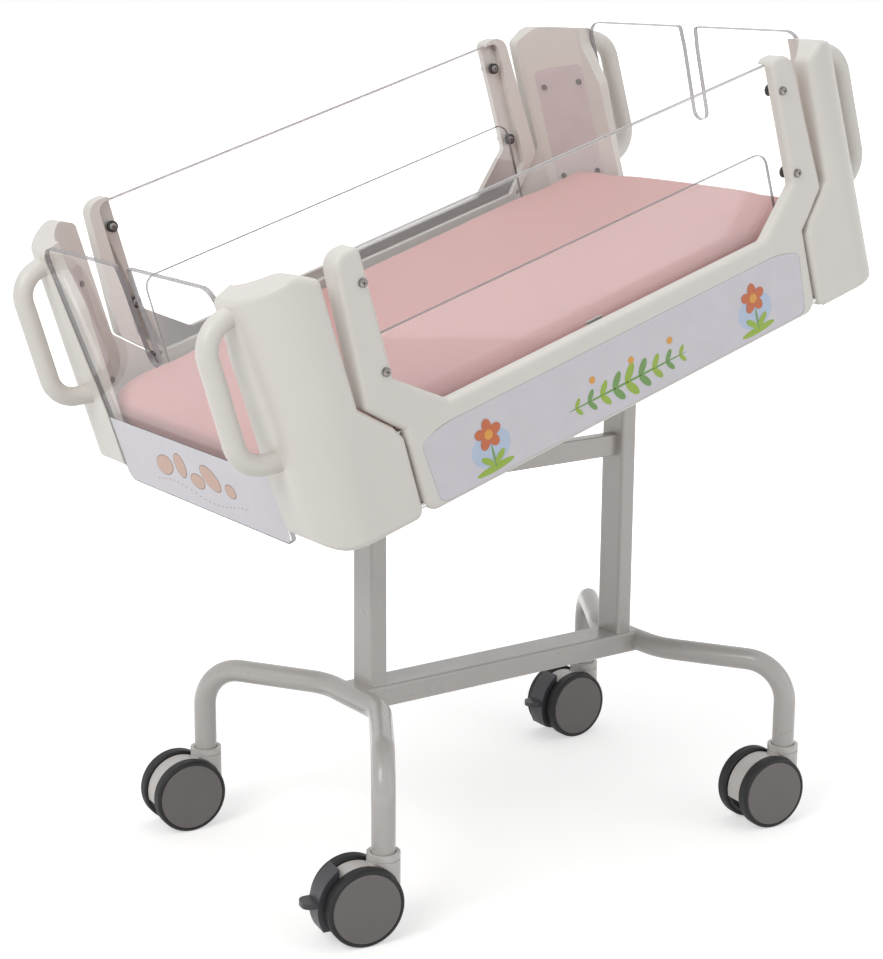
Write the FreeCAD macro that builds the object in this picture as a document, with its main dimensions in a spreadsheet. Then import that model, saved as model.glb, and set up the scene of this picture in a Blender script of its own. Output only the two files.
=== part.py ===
import FreeCAD, Part
import Sketcher
import math
import os
import re
from FreeCAD import Vector

# Hospital bassinet: a tilting crib on a wheeled base. X runs from the foot end to the head end, Y from the
# near side to the far side, Z up. The origin is on the floor under the middle of the base. Crib parts are
# drawn level in the crib's own frame (z = 0 at the bottom of its skirt) and tilted into place.

# ------------------------------------------------------------------------------------------- sizes (mm, deg)

SIZES = {
    # castors
    "wheel_radius": 50, "wheel_width": 18, "wheel_gap": 30, "tyre_depth": 5, "tyre_round": 4,
    "castor_trail": 35, "axle_radius": 4, "hub_wall": 4, "hub_face": 3.5, "boss_radius": 9,
    "housing_radius": 46, "housing_width": 26, "housing_skirt": 11, "housing_wall": 3,
    "collar_radius": 21, "collar_top": 107, "collar_drop": 46, "collar_rim": 5, "wheel_clearance": 1.5,
    "groove_depth": 1, "groove_height": 1.6, "groove_drop": 7,
    "stem_radius": 6, "stem_length": 36,
    "pedal_depth": 10, "pedal_back": 29, "pedal_low": 22, "cheek_wall": 1.4, "cheek_radius": 8,
    "tongue_reach": 74, "tongue_half": 14, "tongue_wall": 7, "tongue_height": 54, "tongue_round": 11,
    "tongue_root": 18, "arm_reach": 10, "arm_low": 8, "arm_high": 25,
    # base
    "castor_reach": 334, "castor_spread": 220,
    "leg_radius": 15, "leg_wall": 2, "leg_bend": 55, "leg_turn": 80, "leg_bar_half": 65,
    "post_spacing": 416, "post_depth": 25, "post_width": 45, "post_wall": 2, "post_corner": 4,
    "beam_bottom": 208, "beam_width": 50, "beam_height": 30, "beam_wall": 2.5, "beam_corner": 4,
    "rail_bottom": 495, "rail_width": 20, "rail_height": 30, "rail_wall": 2, "rail_corner": 2,
    "bolt_head": 8, "bolt_head_height": 5, "bolt_place": 165,
    # tilt hinge and its stop
    "hinge_height": 725, "hinge_along": 251.5, "hinge_drop": 20, "tilt": 17,
    "pin_radius": 6, "barrel_radius": 11, "barrel_length": 36, "fork_wall": 4, "fork_depth": 26,
    "fork_plate": 4, "fork_clear": 4, "pin_head": 3,
    "buffer_radius": 10, "buffer_length": 18,
    # gas spring
    "spring_foot": 60, "spring_rise": 20, "spring_head_along": -54, "spring_head_drop": 14,
    "cylinder_radius": 9, "cylinder_start": 12, "cylinder_length": 100, "rod_radius": 4, "rod_inset": 97,
    "eye_radius": 9.5, "eye_width": 9, "spring_pin": 4, "eye_play": 2.2, "lug_wall": 3, "lug_width": 22,
    "plate_lap": 5, "eye_clear": 2,
    # crib tub: its drop sides and clear sheets
    "tub_width": 616, "frame_depth": 27, "frame_top": 330, "rail_top": 118, "skirt_half": 315,
    "skirt_top": 108,
    "skirt_draft": 2, "post_flare": 44, "post_lean": 10, "post_breadth": 46, "shoulder": 150,
    "shoulder_flare": 16, "shoulder_low_z": 121, "inner_shoulder": 170, "inner_foot": 250,
    "bottom_round": 18, "post_round": 20, "inner_round": 10, "frame_round": 7,
    "panel_depth": 1, "panel_half": 302, "panel_low": 5, "panel_top": 95, "panel_shoulder": 84,
    "panel_flat": 269, "panel_foot": 295, "panel_round": 11,
    "tall_lap": 22, "tall_top": 324, "tall_bottom": 106, "tall_wall": 5, "tall_inset": 14.5, "tall_cut": 36,
    "tall_round": 12,
    "low_inset": 6, "low_top": 213, "low_bottom": 36, "low_wall": 4, "low_gap": 11, "low_round": 18,
    "low_foot_round": 5,
    "end_wall": 6, "end_drop": 10, "end_bottom": -8, "end_set": 1, "end_lean": 2.9, "waist": 90,
    "end_lap": 24, "waist_lap": 8, "foot_lap": 13, "end_round": 22, "waist_round": 60, "end_foot_round": 15,
    "slot_half": 12.5, "slot_bottom": 190, "slot_mouth": 5, "slot_bevel": 30,
    # crib corners
    "corner_proud": 2, "corner_length": 141, "corner_lean": 15, "corner_round": 80, "corner_foot_round": 48,
    "corner_drop": 3, "end_step": 18, "mouth_step": 15, "end_slope": 4, "corner_edge": 8, "gap": 5,
    "post_gap": 9, "mouth_lean": 3, "shell_foot_round": 38, "shell_toe_round": 12, "crown_inset": 57,
    "crown_round": 20, "end_ledge": 26, "corner_wall": 25, "hollow_radius": 110, "hollow_flat": 6,
    "hollow_side": 11, "flange": 120, "flange_slope": 75, "skirt_wall": 4, "corner_seat": 52,
    "cover_angle": 38.5, "cover_half": 36, "cover_bottom": 85, "cover_top": 264, "cover_wall": 2.5,
    "cover_round": 9, "cover_screw_turn": 13.8, "cover_screw_drop": 26, "cover_screw_rise": 17,
    "handle_radius": 13, "handle_standoff": 35, "handle_inset": 76, "handle_top": 282, "handle_low": 122,
    "handle_flare": 13, "handle_bend": 36, "handle_let": 20,
    # deck
    "deck_low": 32, "tube": 20, "tube_wall": 2, "deck_wall": 4, "deck_round": 62,
    "mattress_gap": 6, "mattress_height": 50, "mattress_round": 55, "low_screw_x": 250,
    "tab_top": 110, "tab_width": 24, "tab_wall": 4, "gusset": 95,
    # release shaft
    "shaft_along": -100, "shaft_drop": 12, "shaft_radius": 5, "shaft_lug": 8, "shaft_lug_wall": 6,
    "paddle_length": 55, "paddle_width": 40, "paddle_wall": 5, "paddle_inset": 26,
    "finger_length": 28, "finger_width": 8, "finger_wall": 6,
    # pins and screws
    "side_pin_radius": 4, "side_pin_inset": 8, "side_pin_z": 12, "side_pin_depth": 9,
    "catch_radius": 3, "catch_inset": 14, "catch_z": 105, "catch_depth": 6, "catch_length": 24,
    "screw_head": 5.5, "screw_head_height": 2.5, "screw_inset": 9,
    "screw_high": 289, "screw_low": 182.5, "small_head": 4, "small_height": 2,
    # clearances
    "running": 0.05, "clearance": 0.3,
}

# Sizes that follow from the ones above.
DERIVED = {
    "bar_x": "post_spacing / 2 + post_depth / 2 + leg_radius",
    "leg_height": "beam_bottom + beam_height / 2",
    "beam_top": "beam_bottom + beam_height",
    "fork_base": "hinge_height - barrel_radius - fork_clear",
    "post_top_head": "fork_base - fork_plate",
    "hinge_rise": "deck_low - hinge_drop",
    "deck_top": "deck_low + tube",
    "frame_outer": "tub_width / 2",
    "frame_in": "frame_outer - frame_depth",
    "paddle_place": "frame_in - paddle_width - paddle_inset",
    "frame_half": "skirt_half + post_flare",
    "frame_inner": "frame_half - post_breadth",
    "tall_out": "frame_outer - tall_inset",
    "tall_half": "frame_inner + tall_lap",
    "screw_x": "frame_inner + screw_inset",
    "low_half": "skirt_half - low_inset",
    "low_offset": "frame_in - low_gap",
    "side_pin_y": "frame_outer - side_pin_inset",
    "catch_y": "frame_in + catch_inset",
    "corner_side": "frame_outer + corner_proud",
    "corner_reach": "skirt_half + corner_length",
    "corner_foot": "corner_reach - corner_lean",
    "corner_top": "frame_top - corner_drop",
    "corner_end_top": "corner_top - end_step",
    "corner_gap_top": "corner_top - mouth_step",
    "mouth": "frame_half + post_gap",
    "mouth_round": "corner_edge + 1",
    "inner_limit": "corner_reach - end_ledge",
    "inner_side": "corner_side - corner_wall",
    "hollow_x": "inner_limit - hollow_radius + hollow_flat",
    "hollow_y": "inner_side - hollow_radius + hollow_side",
    "flange_half": "corner_side - flange",
    "handle_reach": "corner_reach + handle_standoff",
    "handle_root": "corner_reach - handle_let",
    "handle_y": "corner_side - handle_inset",
    "end_top": "frame_top - end_drop",
    "end_reach": "corner_reach - end_set",
    "wheel_face": "wheel_gap / 2 + wheel_width",
    "hub_radius": "wheel_radius - tyre_depth",
    "tube_side": "low_offset - low_wall / 2 - tube / 2",
    "deck_end": "inner_limit - 1",
    "mattress_low": "deck_top + deck_wall",
    "mattress_half": "deck_end",
    "mattress_side": "low_offset - low_wall / 2 - mattress_gap",
    "spring_height": "rail_bottom + rail_height + spring_rise",
    "spring_head_z": "deck_low - spring_head_drop",
    "spring_dx": "post_spacing / 2 + (spring_head_along - hinge_along) * cos(tilt)"
                 " - (spring_head_z - hinge_rise) * sin(tilt) - spring_foot",
    "spring_dz": "hinge_height + (spring_head_along - hinge_along) * sin(tilt)"
                 " + (spring_head_z - hinge_rise) * cos(tilt) - spring_height",
    "spring_length": "sqrt(spring_dx * spring_dx + spring_dz * spring_dz)",
    "buffer_face": "hinge_height + hinge_drop / cos(tilt) - post_spacing * tan(tilt) - clearance",
    "foot_post_top": "buffer_face - buffer_length",
    "rest_along": "hinge_along - post_spacing / cos(tilt) + hinge_drop * tan(tilt)",
    "end_foot": "end_reach - end_top * tan(end_lean)",
    "crib_shift": "post_spacing / 2 - hinge_along",
    "crib_lift": "hinge_height - hinge_rise",
}

doc = FreeCAD.newDocument("bassinet")
sheet = doc.addObject("Spreadsheet::Sheet", "Dims")
for row, (name, number) in enumerate(SIZES.items(), start=1):
    cell = "A%d" % row
    sheet.set(cell, str(number))
    sheet.setAlias(cell, name)
doc.recompute()

TERMS = {name: "Dims." + name for name in SIZES}


def size(text):
    """An expression with every named size written as its cell in the sheet."""
    return re.sub(r"[a-z][a-z_]*", lambda word: TERMS.get(word.group(0), word.group(0)), str(text))


for name, formula in DERIVED.items():
    TERMS[name] = "(" + size(formula) + ")"


def value(text):
    return float(sheet.evalExpression(size(text)))


def bind(feature, **properties):
    """Binds properties of a feature to expressions in the named sizes."""
    for name, text in properties.items():
        feature.setExpression(name, size(text))
    return feature


# ---------------------------------------------------------------------------------------------- small tools

def spot(x, y, z):
    return "vector(%s; %s; %s)" % (x, y, z)


def place(feature, x=0, y=0, z=0, turn="0", axis=(0, 0, 1), centre=None):
    """Binds a placement: a shift, and a turn in degrees about an axis through centre."""
    text = "placement(%s; rotation(vector(%g; %g; %g); %s)" % ((spot(x, y, z),) + tuple(axis) + (turn,))
    text += ")" if centre is None else "; %s)" % spot(*centre)
    return bind(feature, Placement=text)


def seat_in_crib(feature):
    """Tilts a part drawn in the crib's frame about the tilt hinge on the head post."""
    return place(feature, "crib_shift", 0, "crib_lift", "-tilt", (0, 1, 0), ("hinge_along", 0, "hinge_rise"))


def body(name):
    return doc.addObject("PartDesign::Body", name)


def base_plane(part, role):
    return next(feature for feature in part.Origin.OriginFeatures if feature.Role == role)


def sketch(part, role, loops, offset="0"):
    """A sketch on one of the body's planes. A loop is a list of corners (x, y, radius) or one circle."""
    drawing = part.newObject("Sketcher::SketchObject", part.Name + "_sketch")
    drawing.AttachmentSupport = (base_plane(part, role), "")
    drawing.MapMode = "FlatFace"
    drawing.setExpression("AttachmentOffset.Base.z", size(offset))
    for loop in loops:
        if isinstance(loop, tuple):
            draw_circle(drawing, *loop)
        else:
            draw_outline(drawing, loop)
    return drawing


def set_distance(drawing, axis, point, text):
    """Holds a point of the sketch at a distance along X or Y from the sketch's origin."""
    geometry, end = point
    here = drawing.getPoint(geometry, end)
    number = drawing.addConstraint(Sketcher.Constraint(axis, -1, 1, geometry, end,
                                                       here.x if axis == "DistanceX" else here.y))
    drawing.setExpression("Constraints[%d]" % number, size(text))


def draw_circle(drawing, x, y, radius):
    circle = Part.Circle(Vector(value(x), value(y), 0), Vector(0, 0, 1), value(radius))
    number = drawing.addGeometry(circle, False)
    set_distance(drawing, "DistanceX", (number, 3), x)
    set_distance(drawing, "DistanceY", (number, 3), y)
    fixed = drawing.addConstraint(Sketcher.Constraint("Radius", number, value(radius)))
    drawing.setExpression("Constraints[%d]" % fixed, size(radius))


def draw_outline(drawing, corners):
    """A closed outline of straight sides, with a tangent arc at each corner that has a radius."""
    points = [Vector(value(corner[0]), value(corner[1]), 0) for corner in corners]
    radii = [value(corner[2]) if len(corner) > 2 else 0 for corner in corners]
    count = len(points)
    cuts = []
    for i in range(count):
        back = (points[i - 1] - points[i]).normalize()
        ahead = (points[(i + 1) % count] - points[i]).normalize()
        angle = back.getAngle(ahead)
        reach = radii[i] / math.tan(angle / 2) if radii[i] else 0
        cuts.append((points[i] + back * reach, points[i] + ahead * reach, back, ahead, angle))
    lines = [drawing.addGeometry(Part.LineSegment(cuts[i][1], cuts[(i + 1) % count][0]), False)
             for i in range(count)]
    for i in range(count):
        before, after = lines[i - 1], lines[i]
        if radii[i]:
            entry, leave, back, ahead, angle = cuts[i]
            middle = points[i] + (back + ahead).normalize() * (radii[i] / math.sin(angle / 2))
            start, stop = ((entry - middle), (leave - middle))
            left_turn = (back * -1).cross(ahead).z > 0
            if not left_turn:
                start, stop = stop, start
            arc = drawing.addGeometry(Part.ArcOfCircle(
                Part.Circle(middle, Vector(0, 0, 1), radii[i]),
                math.atan2(start.y, start.x), math.atan2(stop.y, stop.x)), False)
            mark = drawing.addGeometry(Part.Point(points[i]), True)
            first, last = (1, 2) if left_turn else (2, 1)
            drawing.addConstraint(Sketcher.Constraint("Tangent", before, 2, arc, first))
            drawing.addConstraint(Sketcher.Constraint("Tangent", after, 1, arc, last))
            drawing.addConstraint(Sketcher.Constraint("PointOnObject", mark, 1, before))
            drawing.addConstraint(Sketcher.Constraint("PointOnObject", mark, 1, after))
            held = drawing.addConstraint(Sketcher.Constraint("Radius", arc, radii[i]))
            drawing.setExpression("Constraints[%d]" % held, size(corners[i][2]))
            corner = (mark, 1)
        else:
            drawing.addConstraint(Sketcher.Constraint("Coincident", before, 2, after, 1))
            corner = (after, 1)
        set_distance(drawing, "DistanceX", corner, corners[i][0])
        set_distance(drawing, "DistanceY", corner, corners[i][1])


def pad(part, profile, length, midplane=False, back=False):
    feature = part.newObject("PartDesign::Pad", part.Name + "_pad")
    feature.Profile = profile
    feature.Midplane = midplane
    feature.Reversed = back
    bind(feature, Length=length)
    doc.recompute()
    return feature


def pocket(part, profile, length, midplane=False, back=False):
    """Cuts a pocket and makes sure that it met the solid."""
    before = part.Shape.Volume
    feature = part.newObject("PartDesign::Pocket", part.Name + "_pocket")
    feature.Profile = profile
    feature.Midplane = midplane
    feature.Reversed = back
    bind(feature, Length=length)
    doc.recompute()
    if not part.Shape.Volume < before:
        raise RuntimeError("pocket misses the solid: %s %s" % (feature.Name, feature.getStatusString()))
    return feature


def revolve(part, profile, axis):
    feature = part.newObject("PartDesign::Revolution", part.Name + "_revolution")
    feature.Profile = profile
    feature.ReferenceAxis = (profile, [axis])
    feature.Angle = 360
    doc.recompute()
    return feature


def round_edges(part, radius, wanted):
    """Rounds the edges of a body's last feature that the test wanted(edge) picks."""
    base = part.Tip
    picked = ["Edge%d" % (i + 1) for i, edge in enumerate(base.Shape.Edges) if wanted(edge)]
    if not picked:
        raise RuntimeError("no edge to round on " + part.Name)
    feature = part.newObject("PartDesign::Fillet", part.Name + "_fillet")
    feature.Base = (base, picked)
    bind(feature, Radius=radius)
    doc.recompute()
    return feature


def box(name, x, y, z, low_x, low_y, low_z):
    feature = bind(doc.addObject("Part::Box", name), Length=x, Width=y, Height=z)
    return place(feature, low_x, low_y, low_z)


def cylinder(name, radius, length, x=0, y=0, z=0, turn="0", axis=(0, 0, 1)):
    feature = bind(doc.addObject("Part::Cylinder", name), Radius=radius, Height=length)
    return place(feature, x, y, z, turn, axis)


def cross_cylinder(name, radius, length, x, y, z):
    """A cylinder along Y, from y onward."""
    return cylinder(name, radius, length, x, y, z, "-90", (1, 0, 0))


def long_cylinder(name, radius, length, x, y, z):
    """A cylinder along X, from x onward."""
    return cylinder(name, radius, length, x, y, z, "90", (0, 1, 0))


def cut(name, base, tool):
    feature = doc.addObject("Part::Cut", name)
    feature.Base = base
    feature.Tool = tool
    return feature


def join(name, shapes):
    feature = doc.addObject("Part::MultiFuse", name)
    feature.Shapes = shapes
    return feature


def overlap(name, shapes):
    feature = doc.addObject("Part::MultiCommon", name)
    feature.Shapes = shapes
    return feature


def group(name, shapes):
    feature = doc.addObject("Part::Compound", name)
    feature.Links = shapes
    return feature


def mirror(name, source, normal):
    feature = doc.addObject("Part::Mirroring", name)
    feature.Source = source
    feature.Normal = Vector(*normal)
    return feature


def tube_path(name, points, radii):
    """A wire through points (lists of three expressions), with an arc at each inner corner."""
    spots = [Vector(*(value(part) for part in point)) for point in points]
    edges = []
    start = spots[0]
    for i in range(1, len(spots) - 1):
        back = (spots[i - 1] - spots[i]).normalize()
        ahead = (spots[i + 1] - spots[i]).normalize()
        angle = back.getAngle(ahead)
        radius = value(radii[i - 1])
        reach = radius / math.tan(angle / 2)
        entry = spots[i] + back * reach
        leave = spots[i] + ahead * reach
        crown = spots[i] + (back + ahead).normalize() * (radius / math.sin(angle / 2) - radius)
        edges.append(Part.LineSegment(start, entry).toShape())
        edges.append(Part.Arc(entry, crown, leave).toShape())
        start = leave
    edges.append(Part.LineSegment(start, spots[-1]).toShape())
    path = doc.addObject("Part::Feature", name + "_path")
    path.Shape = Part.Wire(edges)
    return path


def swept_tube(name, path, radius, start, turn="0", axis=(0, 0, 1)):
    """A round bar along a path; the circle lies at the path's start."""
    ring = bind(doc.addObject("Part::Circle", name + "_section"), Radius=radius)
    place(ring, start[0], start[1], start[2], turn, axis)
    feature = doc.addObject("Part::Sweep", name)
    feature.Sections = [ring]
    feature.Spine = (path, ["Edge%d" % (i + 1) for i in range(len(path.Shape.Edges))])
    feature.Solid = True
    feature.Frenet = False
    return feature


NODES = []


def keep(feature, name):
    """Names a finished sub-part; the name is that of its file."""
    feature.Label = name
    NODES.append(feature)
    return feature


# -------------------------------------------------------------------------------------------------- castors

# corner: side along X, side along Y, heading in degrees from trailing straight towards the foot end, brake
CORNERS = {
    "foot_far": (-1, 1, -6, False),
    "foot_near": (-1, -1, -10, True),
    "head_far": (1, 1, 0, True),
    "head_near": (1, -1, -7, False),
}


def seat_on_stem(feature, side_x, side_y, heading, along="0", height="0"):
    """Places a castor part: along is measured from the stem, away from the wheels' trail."""
    return place(feature, "%d * castor_reach + (%s) * cos(%g)" % (side_x, along, heading),
                 "%d * castor_spread + (%s) * sin(%g)" % (side_y, along, heading), height, "%g" % heading)


def castor_housing(name):
    """The swivelling body between the wheels: a drum under a collar that turns on the leg's stem."""
    part = body(name)
    pad(part, sketch(part, "XZ_Plane", [("-castor_trail", "wheel_radius", "housing_radius")]),
        "housing_width", midplane=True)
    pad(part, sketch(part, "XY_Plane", [("0", "0", "collar_radius")], "collar_top - collar_drop"),
        "collar_drop")
    wheel_room = ("-castor_trail", "wheel_radius", "wheel_radius + wheel_clearance")
    for back in (False, True):
        side = "-housing_width / 2" if back else "housing_width / 2"
        pocket(part, sketch(part, "XZ_Plane", [wheel_room], side), "collar_radius", back=not back)
    low = "wheel_radius - housing_skirt"
    below = [("-castor_trail - housing_radius - 1", "-1"), ("collar_radius + 1", "-1"),
             ("collar_radius + 1", low), ("-castor_trail - housing_radius - 1", low)]
    pocket(part, sketch(part, "XZ_Plane", [below]), "housing_width + 2", midplane=True)
    inner = "housing_radius - housing_wall"
    well = [("-castor_trail", "wheel_radius", inner), ("-castor_trail", "wheel_radius", "boss_radius")]
    pocket(part, sketch(part, "XZ_Plane", well), "housing_width - 2 * housing_wall", midplane=True)
    return part


def finish_housing(part):
    """Collar rim, stem bore and axle bore, cut last so that they go through drum and collar alike."""
    groove = [("0", "0", "collar_radius + 1"), ("0", "0", "collar_radius - groove_depth")]
    pocket(part, sketch(part, "XY_Plane", groove, "collar_top - groove_drop"), "groove_height")
    rim_floor = "collar_top - collar_rim"
    pocket(part, sketch(part, "XY_Plane", [("0", "0", "leg_radius + 1")], "collar_top"), "collar_rim")
    pocket(part, sketch(part, "XY_Plane", [("0", "0", "stem_radius + running")], rim_floor),
           "stem_length + clearance")
    pocket(part, sketch(part, "XZ_Plane", [("-castor_trail", "wheel_radius", "axle_radius")]),
           "housing_width + 2", midplane=True)
    return part


def wheel_hub(name, side):
    """A cup with its closed face outward; its blind boss runs on the axle."""
    inner, outer = "wheel_gap / 2 + 1", "wheel_face"
    web = "(%s - hub_face)" % outer
    boss = "wheel_gap / 2"
    bore = "axle_radius + running"
    corners = [(web, "0"), (outer, "0"), (outer, "hub_radius - 1"), (outer + " - 1", "hub_radius"),
               (inner, "hub_radius"), (inner, "hub_radius - hub_wall"),
               (web + " - 1", "hub_radius - hub_wall"),
               (web + " - 1", "boss_radius"), (boss, "boss_radius"), (boss, bore), (web, bore)]
    return turned(name, side, corners)


def wheel_tyre(name, side):
    inner, outer = "wheel_gap / 2", "wheel_face"
    return turned(name, side, [(inner, "hub_radius"), (outer, "hub_radius"),
                               (outer, "wheel_radius", "tyre_round"), (inner, "wheel_radius", "tyre_round")])


def turned(name, side, corners):
    """A solid of revolution about Y; corners give the distance along Y and the radius."""
    part = body(name)
    flipped = [("%d * (%s)" % (side, corner[0]),) + tuple(corner[1:]) for corner in corners]
    revolve(part, sketch(part, "YZ_Plane", [flipped]), "H_Axis")
    return part


def brake_pedal(name):
    """A curved cover over the back of the drum with a tongue to step on; its cheeks turn on the axle."""
    part = body(name)
    half = "(wheel_gap / 2 - clearance)"
    inner = "(housing_radius + wheel_clearance)"
    outer = "(%s + pedal_depth)" % inner
    front, back = "-castor_trail - pedal_back", "-castor_trail - tongue_reach"
    pad(part, sketch(part, "XZ_Plane", [("-castor_trail", "wheel_radius", outer)]), "2 * " + half,
        midplane=True)
    over, under = "wheel_radius + %s + 1" % outer, "wheel_radius - %s - 1" % outer
    ahead = [(front, under), ("%s - castor_trail + 1" % outer, under),
             ("%s - castor_trail + 1" % outer, over),
             (front, over)]
    beneath = [(back, under), (front + " + 1", under), (front + " + 1", "pedal_low"), (back, "pedal_low")]
    for waste in (ahead, beneath):
        pocket(part, sketch(part, "XZ_Plane", [waste]), "2 * %s + 1" % half, midplane=True)
    arm = [("-castor_trail", "wheel_radius + cheek_radius"), ("-castor_trail", "wheel_radius - cheek_radius"),
           (front + " - arm_reach", "pedal_low + arm_low"),
           (front + " - arm_reach", "wheel_radius + arm_high")]
    ring = ("-castor_trail", "wheel_radius", "cheek_radius")
    for side in (-1, 1):
        face = "%d * %s" % (-side, half)
        for loop in (arm, ring):
            pad(part, sketch(part, "XZ_Plane", [loop], face), "cheek_wall", back=side < 0)
    drum = ("-castor_trail", "wheel_radius", inner)
    pocket(part, sketch(part, "XZ_Plane", [drum]), "2 * (%s - cheek_wall)" % half, midplane=True)
    tongue = [(back, "-tongue_half", "tongue_round"), (front + " - tongue_root", "-tongue_half"),
              (front + " - tongue_root", "tongue_half"), (back, "tongue_half", "tongue_round")]
    pad(part, sketch(part, "XY_Plane", [tongue], "tongue_height"), "tongue_wall")
    pocket(part, sketch(part, "XZ_Plane", [("-castor_trail", "wheel_radius", "axle_radius + running")]),
           "2 * %s + 1" % half, midplane=True)
    return part


for corner, (side_x, side_y, heading, braked) in CORNERS.items():
    name = "castor_" + corner
    housing = finish_housing(castor_housing(name + "_housing"))
    keep(seat_on_stem(housing, side_x, side_y, heading), housing.Name)
    axle_half = "(wheel_face - hub_face - clearance)"
    pin = cross_cylinder(name + "_pin", "axle_radius", "2 * " + axle_half, "-castor_trail", "-" + axle_half,
                         "wheel_radius")
    axle = group(name + "_axle", [pin])
    keep(seat_on_stem(axle, side_x, side_y, heading), axle.Name)
    for side, hand in ((-1, "near"), (1, "far")):
        for piece in (wheel_hub("%s_hub_%s" % (name, hand), side),
                      wheel_tyre("%s_tyre_%s" % (name, hand), side)):
            keep(seat_on_stem(piece, side_x, side_y, heading, "-castor_trail", "wheel_radius"), piece.Name)
    if braked:
        pedal = brake_pedal(name + "_pedal")
        keep(seat_on_stem(pedal, side_x, side_y, heading), pedal.Name)


# ----------------------------------------------------------------------------------------------------- base

def square_tube(name, role, start, length, half_x, half_y, wall, corner, centre=("0", "0")):
    """A rectangular tube on one of the base planes, its section centred on centre."""
    part = body(name)
    x, y = centre

    def section(inset):
        left, right = "%s - (%s) + %s" % (x, half_x, inset), "%s + %s - %s" % (x, half_x, inset)
        low, high = "%s - (%s) + %s" % (y, half_y, inset), "%s + %s - %s" % (y, half_y, inset)
        turn = "%s - %s" % (corner, inset)
        if value(turn) < 0.2:
            return [(left, low), (right, low), (right, high), (left, high)]
        return [(left, low, turn), (right, low, turn), (right, high, turn), (left, high, turn)]

    pad(part, sketch(part, role, [section("0"), section(wall)], start), length)
    return part


def lower_beam():
    """The beam joins the two legs; its ends are coped round their bars."""
    half = "bar_x"
    part = square_tube("lower_beam", "YZ_Plane", "-" + half, "2 * " + half, "beam_width / 2",
                       "beam_height / 2",
                       "beam_wall", "beam_corner", ("0", "leg_height"))
    bars = [("-bar_x", "leg_height", "leg_radius"), ("bar_x", "leg_height", "leg_radius")]
    pocket(part, sketch(part, "XZ_Plane", bars), "beam_width + 2", midplane=True)
    return part


def leg(name, side):
    """One bent tube: a straight bar across the end of the beam, swept out to a stem over each castor."""
    def reach(text):
        return "%d * %s" % (side, text)

    foot_x, bar_x = reach("castor_reach"), reach("bar_x")
    low = "collar_top - collar_rim + clearance"
    points = [(foot_x, "-castor_spread", low), (foot_x, "-castor_spread", "leg_height"),
              (bar_x, "-leg_bar_half", "leg_height"), (bar_x, "leg_bar_half", "leg_height"),
              (foot_x, "castor_spread", "leg_height"), (foot_x, "castor_spread", low)]
    path = tube_path(name, points, ["leg_bend", "leg_turn", "leg_turn", "leg_bend"])
    outside = swept_tube(name + "_outside", path, "leg_radius", points[0])
    inside = swept_tube(name + "_inside", path, "leg_radius - leg_wall", points[0])
    tube = cut(name + "_tube", outside, inside)
    parts = [tube]
    for y in ("-castor_spread", "castor_spread"):
        parts.append(cylinder("%s_plug%d" % (name, len(parts)), "leg_radius - leg_wall", "stem_length / 2",
                              foot_x, y, low))
        parts.append(cylinder("%s_stem%d" % (name, len(parts)), "stem_radius", "stem_length",
                              foot_x, y, low + " - stem_length"))
    return join(name, parts)


def bolts():
    """Beam bolts: domed heads up against the underside of the lower beam."""
    heads = []
    for side in (-1, 1):
        for place_x in ("bolt_place", "(post_spacing / 2)"):
            x = "%d * %s" % (side, place_x)
            number = len(heads)
            head = cylinder("bolt_head%d" % number, "bolt_head", "bolt_head_height", x, "0",
                            "beam_bottom - bolt_head_height")
            heads.append(head)
    return group("beam_bolts", heads)


def hinge_fork():
    """A plate on the head post with two cheeks that carry the tilt pin."""
    x, half = "post_spacing / 2", "(barrel_length / 2 + clearance)"
    plate = box("fork_base_plate", "fork_depth", "2 * (%s + fork_wall)" % half, "fork_plate",
                x + " - fork_depth / 2", "-(%s + fork_wall)" % half, "post_top_head")
    cheeks = body("fork_cheeks")
    outline = [(x + " - fork_depth / 2", "post_top_head"), (x + " + fork_depth / 2", "post_top_head"),
               (x + " + fork_depth / 2", "hinge_height + fork_depth / 2", "fork_depth / 2 - 1"),
               (x + " - fork_depth / 2", "hinge_height + fork_depth / 2", "fork_depth / 2 - 1")]
    pad(cheeks, sketch(cheeks, "XZ_Plane", [outline]), "2 * (%s + fork_wall)" % half, midplane=True)
    room = box("fork_room", "fork_depth + 2", "2 * " + half, "hinge_height", x + " - fork_depth / 2 - 1",
               "-" + half, "fork_base")
    bore = cross_cylinder("fork_bore", "pin_radius", "2 * post_width", x, "-post_width", "hinge_height")
    return cut("tilt_hinge_bracket", join("fork_solid", [plate, cheeks]), join("fork_waste", [room, bore]))


def hinge_pin():
    half = "(barrel_length / 2 + clearance + fork_wall)"
    x = "post_spacing / 2"
    parts = [cross_cylinder("pin_shank", "pin_radius", "2 * " + half, x, "-" + half, "hinge_height")]
    for side, start in ((-1, "-%s - pin_head" % half), (1, half)):
        parts.append(cross_cylinder("pin_end%d" % (side + 1), "pin_radius + pin_head", "pin_head", x, start,
                                    "hinge_height"))
    return join("tilt_hinge_pin", parts)


def rest_buffer():
    """A rubber block on the foot post, its top sloped to meet the tilted deck frame."""
    x = "-post_spacing / 2"
    slope = "(buffer_radius * tan(tilt))"
    outline = [(x + " - buffer_radius", "foot_post_top"), (x + " + buffer_radius", "foot_post_top"),
               (x + " + buffer_radius", "buffer_face + " + slope),
               (x + " - buffer_radius", "buffer_face - " + slope)]
    part = body("rest_buffer")
    pad(part, sketch(part, "XZ_Plane", [outline]), "post_width - 4 * post_wall", midplane=True)
    return part


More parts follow.
